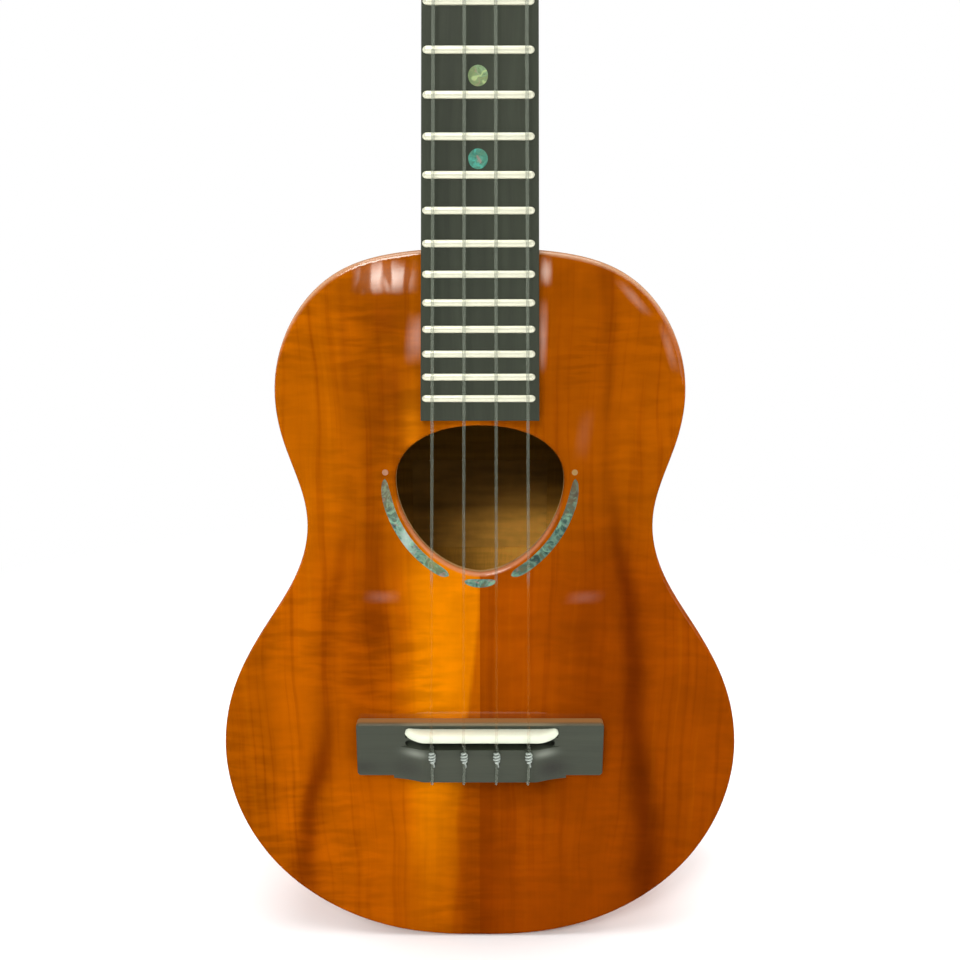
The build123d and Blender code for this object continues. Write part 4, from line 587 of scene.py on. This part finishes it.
# saddle with a full round plan and ends that fall away
bm = bmesh.new()
cx, half, hz, top = 0.0007, 0.0316, 0.00195, 0.0110
rings = []
steps = [0.0, 0.03, 0.10, 0.2, 0.35, 0.55, 0.78, 1.0]
xs = [(-half + 0.0022 * t, math.sqrt(max(0.0, 1 - (1 - t) ** 2))) for t in steps] + [(-half + 0.0022 + 0.0008 * k, 1.0) for k in range(1, 11)]
xs += [(v * 0.0042, 1.0) for v in range(-4, 5)]
xs += [(-a, b) for a, b in reversed(xs[:18])]
for px, k in xs:
    k = max(k, 0.06)
    d = half - abs(px)
    fall = 0.0046 * max(0.0, 1 - d / 0.0085) ** 1.8
    rise = 0.0006 * max(0.0, 1 - d / 0.0075) ** 1.3
    h = top - fall
    w = hz * k
    ring = [(cx + px, FACE_Y - 0.0024, -0.00335 - w), (cx + px, FACE_Y - h + 0.0022, -0.00335 - w + rise * 0.6)]
    for i in range(1, 12):
        a = math.pi * i / 12
        ring.append((cx + px, FACE_Y - h + 0.0022 - 0.0022 * math.sin(a) ** 0.8, -0.00335 - w * math.cos(a) + rise))
    ring += [(cx + px, FACE_Y - h + 0.0022, -0.00335 + w + rise), (cx + px, FACE_Y - 0.0024, -0.00335 + w)]
    rings.append(ring)
loft(bm, rings)
smooth_object("saddle_fine", bm, BONE, ("saddle",))


def tube_rings(points, radius, sides=12):
    """Rings round a list of points, turned as little as possible from one to the next."""
    pts = [Vector(p) for p in points]
    out, up = [], None
    for i, p in enumerate(pts):
        d = (pts[min(i + 1, len(pts) - 1)] - pts[max(i - 1, 0)]).normalized()
        if up is None:
            up = d.orthogonal().normalized()
        up = (up - d * up.dot(d)).normalized()
        side = d.cross(up)
        r = radius(i / (len(pts) - 1)) if callable(radius) else radius
        out.append([p + (up * math.cos(2 * math.pi * k / sides) + side * math.sin(2 * math.pi * k / sides)) * r for k in range(sides)])
    return out


# the wraps of each string knot, lying on the tie block behind the saddle
for key, sx in zip("gcea", (-0.01985, -0.0067, 0.0067, 0.01985)):
    bm = bmesh.new()
    turns, count = 3.25, 78
    path = []
    for i in range(count + 1):
        t = i / count
        a = 2 * math.pi * turns * t + 0.6
        fat = 0.00072 + 0.00022 * math.sin(math.pi * t)
        path.append((sx + 0.0002 + fat * math.cos(a) * 1.25, -0.0760 - 0.00046 - 0.00078 - fat * 0.95 * math.sin(a), -0.0098 - 0.0042 * t))
    path.append((sx + 0.0006, -0.0765, -0.0152))
    path.append((sx + 0.0009, -0.0765, -0.0168))
    loft(bm, tube_rings(path, 0.00042))
    smooth_object("string_knot_" + key, bm, KNOT)


# strings a touch fuller than the bare cores
for key in "gcea":
    for part in ("string_", "string_winding_"):
        m = nodes[part + key].modifiers.new("full", "DISPLACE")
        m.strength = 0.0002
        m.mid_level = 0.0


def soften(node, width_mm, angle=32.0, segments=3):
    m = nodes[node].modifiers.new("soft_edges", "BEVEL")
    m.width = width_mm * MM
    m.segments = segments
    m.limit_method = "ANGLE"
    m.angle_limit = math.radians(angle)
    m.harden_normals = False


# ------------------------------------------------------------------ stage, light, camera
def plane_mesh(name, verts, faces):
    me = bpy.data.meshes.new(name)
    me.from_pydata(verts, [], faces)
    me.update()
    ob = bpy.data.objects.new(name, me)
    scene.collection.objects.link(ob)
    return ob


floor_z = nodes["side_left"].data.vertices[0].co.z * 0 + min(v.co.z for v in nodes["side_left"].data.vertices)
rings = [0.0, 0.15, 0.35, 0.7, 1.4, 2.8, 6.0]
verts, faces = [(0.0, 0.0, floor_z)], []
for r in rings[1:]:
    verts += [(r * math.cos(math.pi * i / 24), r * math.sin(math.pi * i / 24), floor_z) for i in range(48)]
for i in range(48):
    j = (i + 1) % 48
    faces.append((0, 1 + i, 1 + j))
    for k in range(len(rings) - 2):
        a, b = 1 + 48 * k, 1 + 48 * (k + 1)
        faces.append((a + i, b + i, b + j, a + j))
sweep = plane_mesh("studio_floor", verts, faces)
for p in sweep.data.polygons:
    p.use_smooth = True
SM = Mat("studio_white")
SM.set(Base_Color=lin(250, 250, 250), Roughness=0.9, Specular_IOR_Level=0.0)
# lacquer is polished to a mirror, and is lit so that it shows only the lamps and cards
sharp = SM.t.nodes.new("ShaderNodeLightPath")
dark = SM.t.nodes.new("ShaderNodeEmission")
dark.inputs["Strength"].default_value = 0.0
pick = SM.t.nodes.new("ShaderNodeMixShader")
SM.t.links.new(sharp.outputs["Is Singular Ray"], pick.inputs[0])
# far from the object the floor runs out into plain white
fx, fy, fz = SM.xyz()
far = SM.remap(SM.math("SQRT", SM.add(SM.mul(fx, fx), SM.mul(fy, fy))), 220.0, 620.0)
plain = SM.t.nodes.new("ShaderNodeEmission")
plain.inputs["Strength"].default_value = 1.0
away = SM.t.nodes.new("ShaderNodeMixShader")
SM.put(away.inputs[0], SM.mul(far, sharp.outputs["Is Camera Ray"]))
SM.t.links.new(SM.p.outputs[0], away.inputs[1])
SM.t.links.new(plain.outputs[0], away.inputs[2])
SM.t.links.new(away.outputs[0], pick.inputs[1])
SM.t.links.new(dark.outputs[0], pick.inputs[2])
SM.t.links.new(pick.outputs[0], SM.out.inputs["Surface"])
sweep.data.materials.append(SM.m)

WORLD = 0.36
world = bpy.data.worlds.new("studio")
scene.world = world
world.use_nodes = True
wt = world.node_tree
wt.nodes.clear()
wo = wt.nodes.new("ShaderNodeOutputWorld")
bg = wt.nodes.new("ShaderNodeBackground")
bg.inputs["Color"].default_value = (1, 1, 1, 1)
lp = wt.nodes.new("ShaderNodeLightPath")
mx = wt.nodes.new("ShaderNodeMath")
mx.operation = "MULTIPLY_ADD"
mx.inputs[1].default_value = -WORLD
mx.inputs[2].default_value = WORLD
wt.links.new(lp.outputs["Is Singular Ray"], mx.inputs[0])
eye = wt.nodes.new("ShaderNodeMath")
eye.operation = "MULTIPLY_ADD"
eye.inputs[1].default_value = 1.0 - WORLD
wt.links.new(lp.outputs["Is Camera Ray"], eye.inputs[0])
wt.links.new(mx.outputs[0], eye.inputs[2])
wt.links.new(eye.outputs[0], bg.inputs["Strength"])
wt.links.new(bg.outputs[0], wo.inputs["Surface"])


def area(name, loc, target, size, size_y, power, color=(1, 1, 1), mirrored=True):
    d = bpy.data.lights.new(name, "AREA")
    d.shape = "RECTANGLE"
    d.size, d.size_y = size, size_y
    d.energy = power
    d.color = color
    o = bpy.data.objects.new(name, d)
    o.location = loc
    o.rotation_euler = (Vector(target) - Vector(loc)).to_track_quat("-Z", "Y").to_euler()
    o.visible_glossy = mirrored
    scene.collection.objects.link(o)
    return o


area("key", (-0.42, -1.25, 1.02), (0, 0, 0.08), 0.5, 0.5, 11.5, (1.0, 0.985, 0.96))
area("fill", (1.3, -1.2, 0.6), (0, 0, 0.1), 1.2, 1.2, 5)
area("top", (0.0, -0.25, 1.7), (0, 0, 0.1), 1.6, 0.9, 17)
area("rim_left", (-1.3, 0.15, 0.75), (0, 0, 0.05), 0.8, 1.0, 8, (1, 1, 1), False)
area("rim_right", (1.3, 0.15, 0.75), (0, 0, 0.05), 0.8, 1.0, 8, (1, 1, 1), False)
area("back", (0.3, 1.5, 0.9), (0, 0, 0.15), 1.2, 1.2, 9, (1, 1, 1), False)
area("strip_left", (-1.1, 0.35, 0.55), (0, 0, 0.1), 0.10, 1.3, 1.6)
area("strip_right", (1.1, 0.45, 0.55), (0, 0, 0.1), 0.10, 1.3, 1.6)


# Cards that only the lacquer sees, each placed where its mirror image lands on the soundboard.
def card(name, x0, x1, z0, z1, power, color=(1.0, 0.9, 0.84), lean=0.0, bars=0.0, seed=0.0, far=-0.46):
    """x0..x1 and z0..z1 are the patch on the board, in mm, that shows the card."""
    k = (FACE_Y - far + (FACE_Y + 0.41092)) / (FACE_Y + 0.41092)
    pts = []
    for px, pz in ((x0, z0), (x1, z0), (x1, z1), (x0, z1)):
        px += lean * (pz - z0)
        pts.append((px * MM * k, far, 0.18878 + (pz * MM - 0.18878) * k))
    ob = plane_mesh(name, pts, [(0, 1, 2, 3)])
    uv = ob.data.uv_layers.new(name="UVMap")
    for loop, c in zip(uv.data, ((0, 0), (1, 0), (1, 1), (0, 1))):
        loop.uv = c
    C = Mat(name)
    C.t.nodes.remove(C.p)
    tc = C.t.nodes.new("ShaderNodeTexCoord")
    sep = C.t.nodes.new("ShaderNodeSeparateXYZ")
    C.t.links.new(tc.outputs["UV"], sep.inputs[0])
    u, v = sep.outputs[0], sep.outputs[1]
    rag = C.noise(C.vec(C.mul(u, 3.0), seed, C.mul(v, 3.0)), 1.0, 3.0, 0.6)
    rag = C.mul(C.sub(rag, 0.5), 0.9)
    eu = C.sub(0.5, C.math("ABSOLUTE", C.sub(C.add(u, C.mul(rag, 0.25)), 0.5)))
    ev = C.sub(0.5, C.math("ABSOLUTE", C.sub(C.add(v, C.mul(rag, 0.35)), 0.5)))
    mask = C.mul(C.remap(eu, 0.0, 0.5), C.remap(ev, 0.0, 0.5))
    for w in (u, v):
        mask = C.mul(mask, C.mul(C.remap(w, 0.0, 0.16), C.remap(w, 1.0, 0.84)))
    if bars:
        mask = C.mul(mask, C.remap(C.noise(C.vec(C.mul(u, bars), seed + 4.0, C.mul(v, 0.8)), 1.0, 1.0), 0.42, 0.58, 0.1, 1.0))
    em = C.t.nodes.new("ShaderNodeEmission")
    em.inputs["Color"].default_value = tuple(color) + (1.0,)
    C.put(em.inputs["Strength"], C.mul(mask, power))
    ray = C.t.nodes.new("ShaderNodeLightPath")
    clear = C.t.nodes.new("ShaderNodeBsdfTransparent")
    only = C.t.nodes.new("ShaderNodeMixShader")
    C.t.links.new(ray.outputs["Is Singular Ray"], only.inputs[0])
    C.t.links.new(clear.outputs[0], only.inputs[1])
    C.t.links.new(em.outputs[0], only.inputs[2])
    C.t.links.new(only.outputs[0], C.out.inputs["Surface"])
    ob.data.materials.append(C.m)
    ob.visible_camera = False
    ob.visible_diffuse = False
    ob.visible_transmission = False
    ob.visible_shadow = False
    return ob


card("card_window", -49.0, -21.0, 173.0, 188.0, 19.0, (1.0, 0.96, 0.88), 0.0, 6.0, 1.0)
card("card_post_left", -30.5, -20.0, 146.0, 170.0, 4.6, (1.0, 0.80, 0.78), 0.10, 0.0, 2.0)
card("card_post_right", 21.4, 26.0, 143.0, 175.0, 5.0, (1.0, 0.86, 0.80), 0.0, 0.0, 3.0)
card("card_spot_right", 21.6, 27.4, 176.0, 189.0, 9.0, (1.0, 0.94, 0.84), 0.0, 0.0, 9.0)
card("card_rail_right", 61.0, 67.5, 165.0, 181.0, 3.2, (1.0, 0.9, 0.82), -0.9, 0.0, 4.0)
card("card_rail_low", 72.5, 77.5, 143.0, 166.0, 2.6, (1.0, 0.9, 0.82), -0.34, 0.0, 5.0)
card("card_streak_right", 34.0, 43.0, 108.0, 134.0, 0.6, (1.0, 0.84, 0.76), 0.12, 0.0, 6.0)
card("card_low_left", -49.0, -30.0, 51.0, 58.5, 1.4, (1.0, 0.88, 0.86), 0.0, 0.0, 7.0, -0.2)
card("card_low_right", 30.0, 50.0, 50.5, 58.5, 1.2, (1.0, 0.88, 0.86), 0.5, 0.0, 8.0, -0.2)

cam_data = bpy.data.cameras.new("camera")
cam_data.sensor_width = 36.0
cam_data.lens = 906.345 / 960.0 * 36.0
cam_data.clip_start = 0.01
cam = bpy.data.objects.new("camera", cam_data)
cam.location = (0.0, -0.41092, 0.18878)
cam.rotation_euler = (math.radians(76.0), 0.0, 0.0)
scene.collection.objects.link(cam)
scene.camera = cam
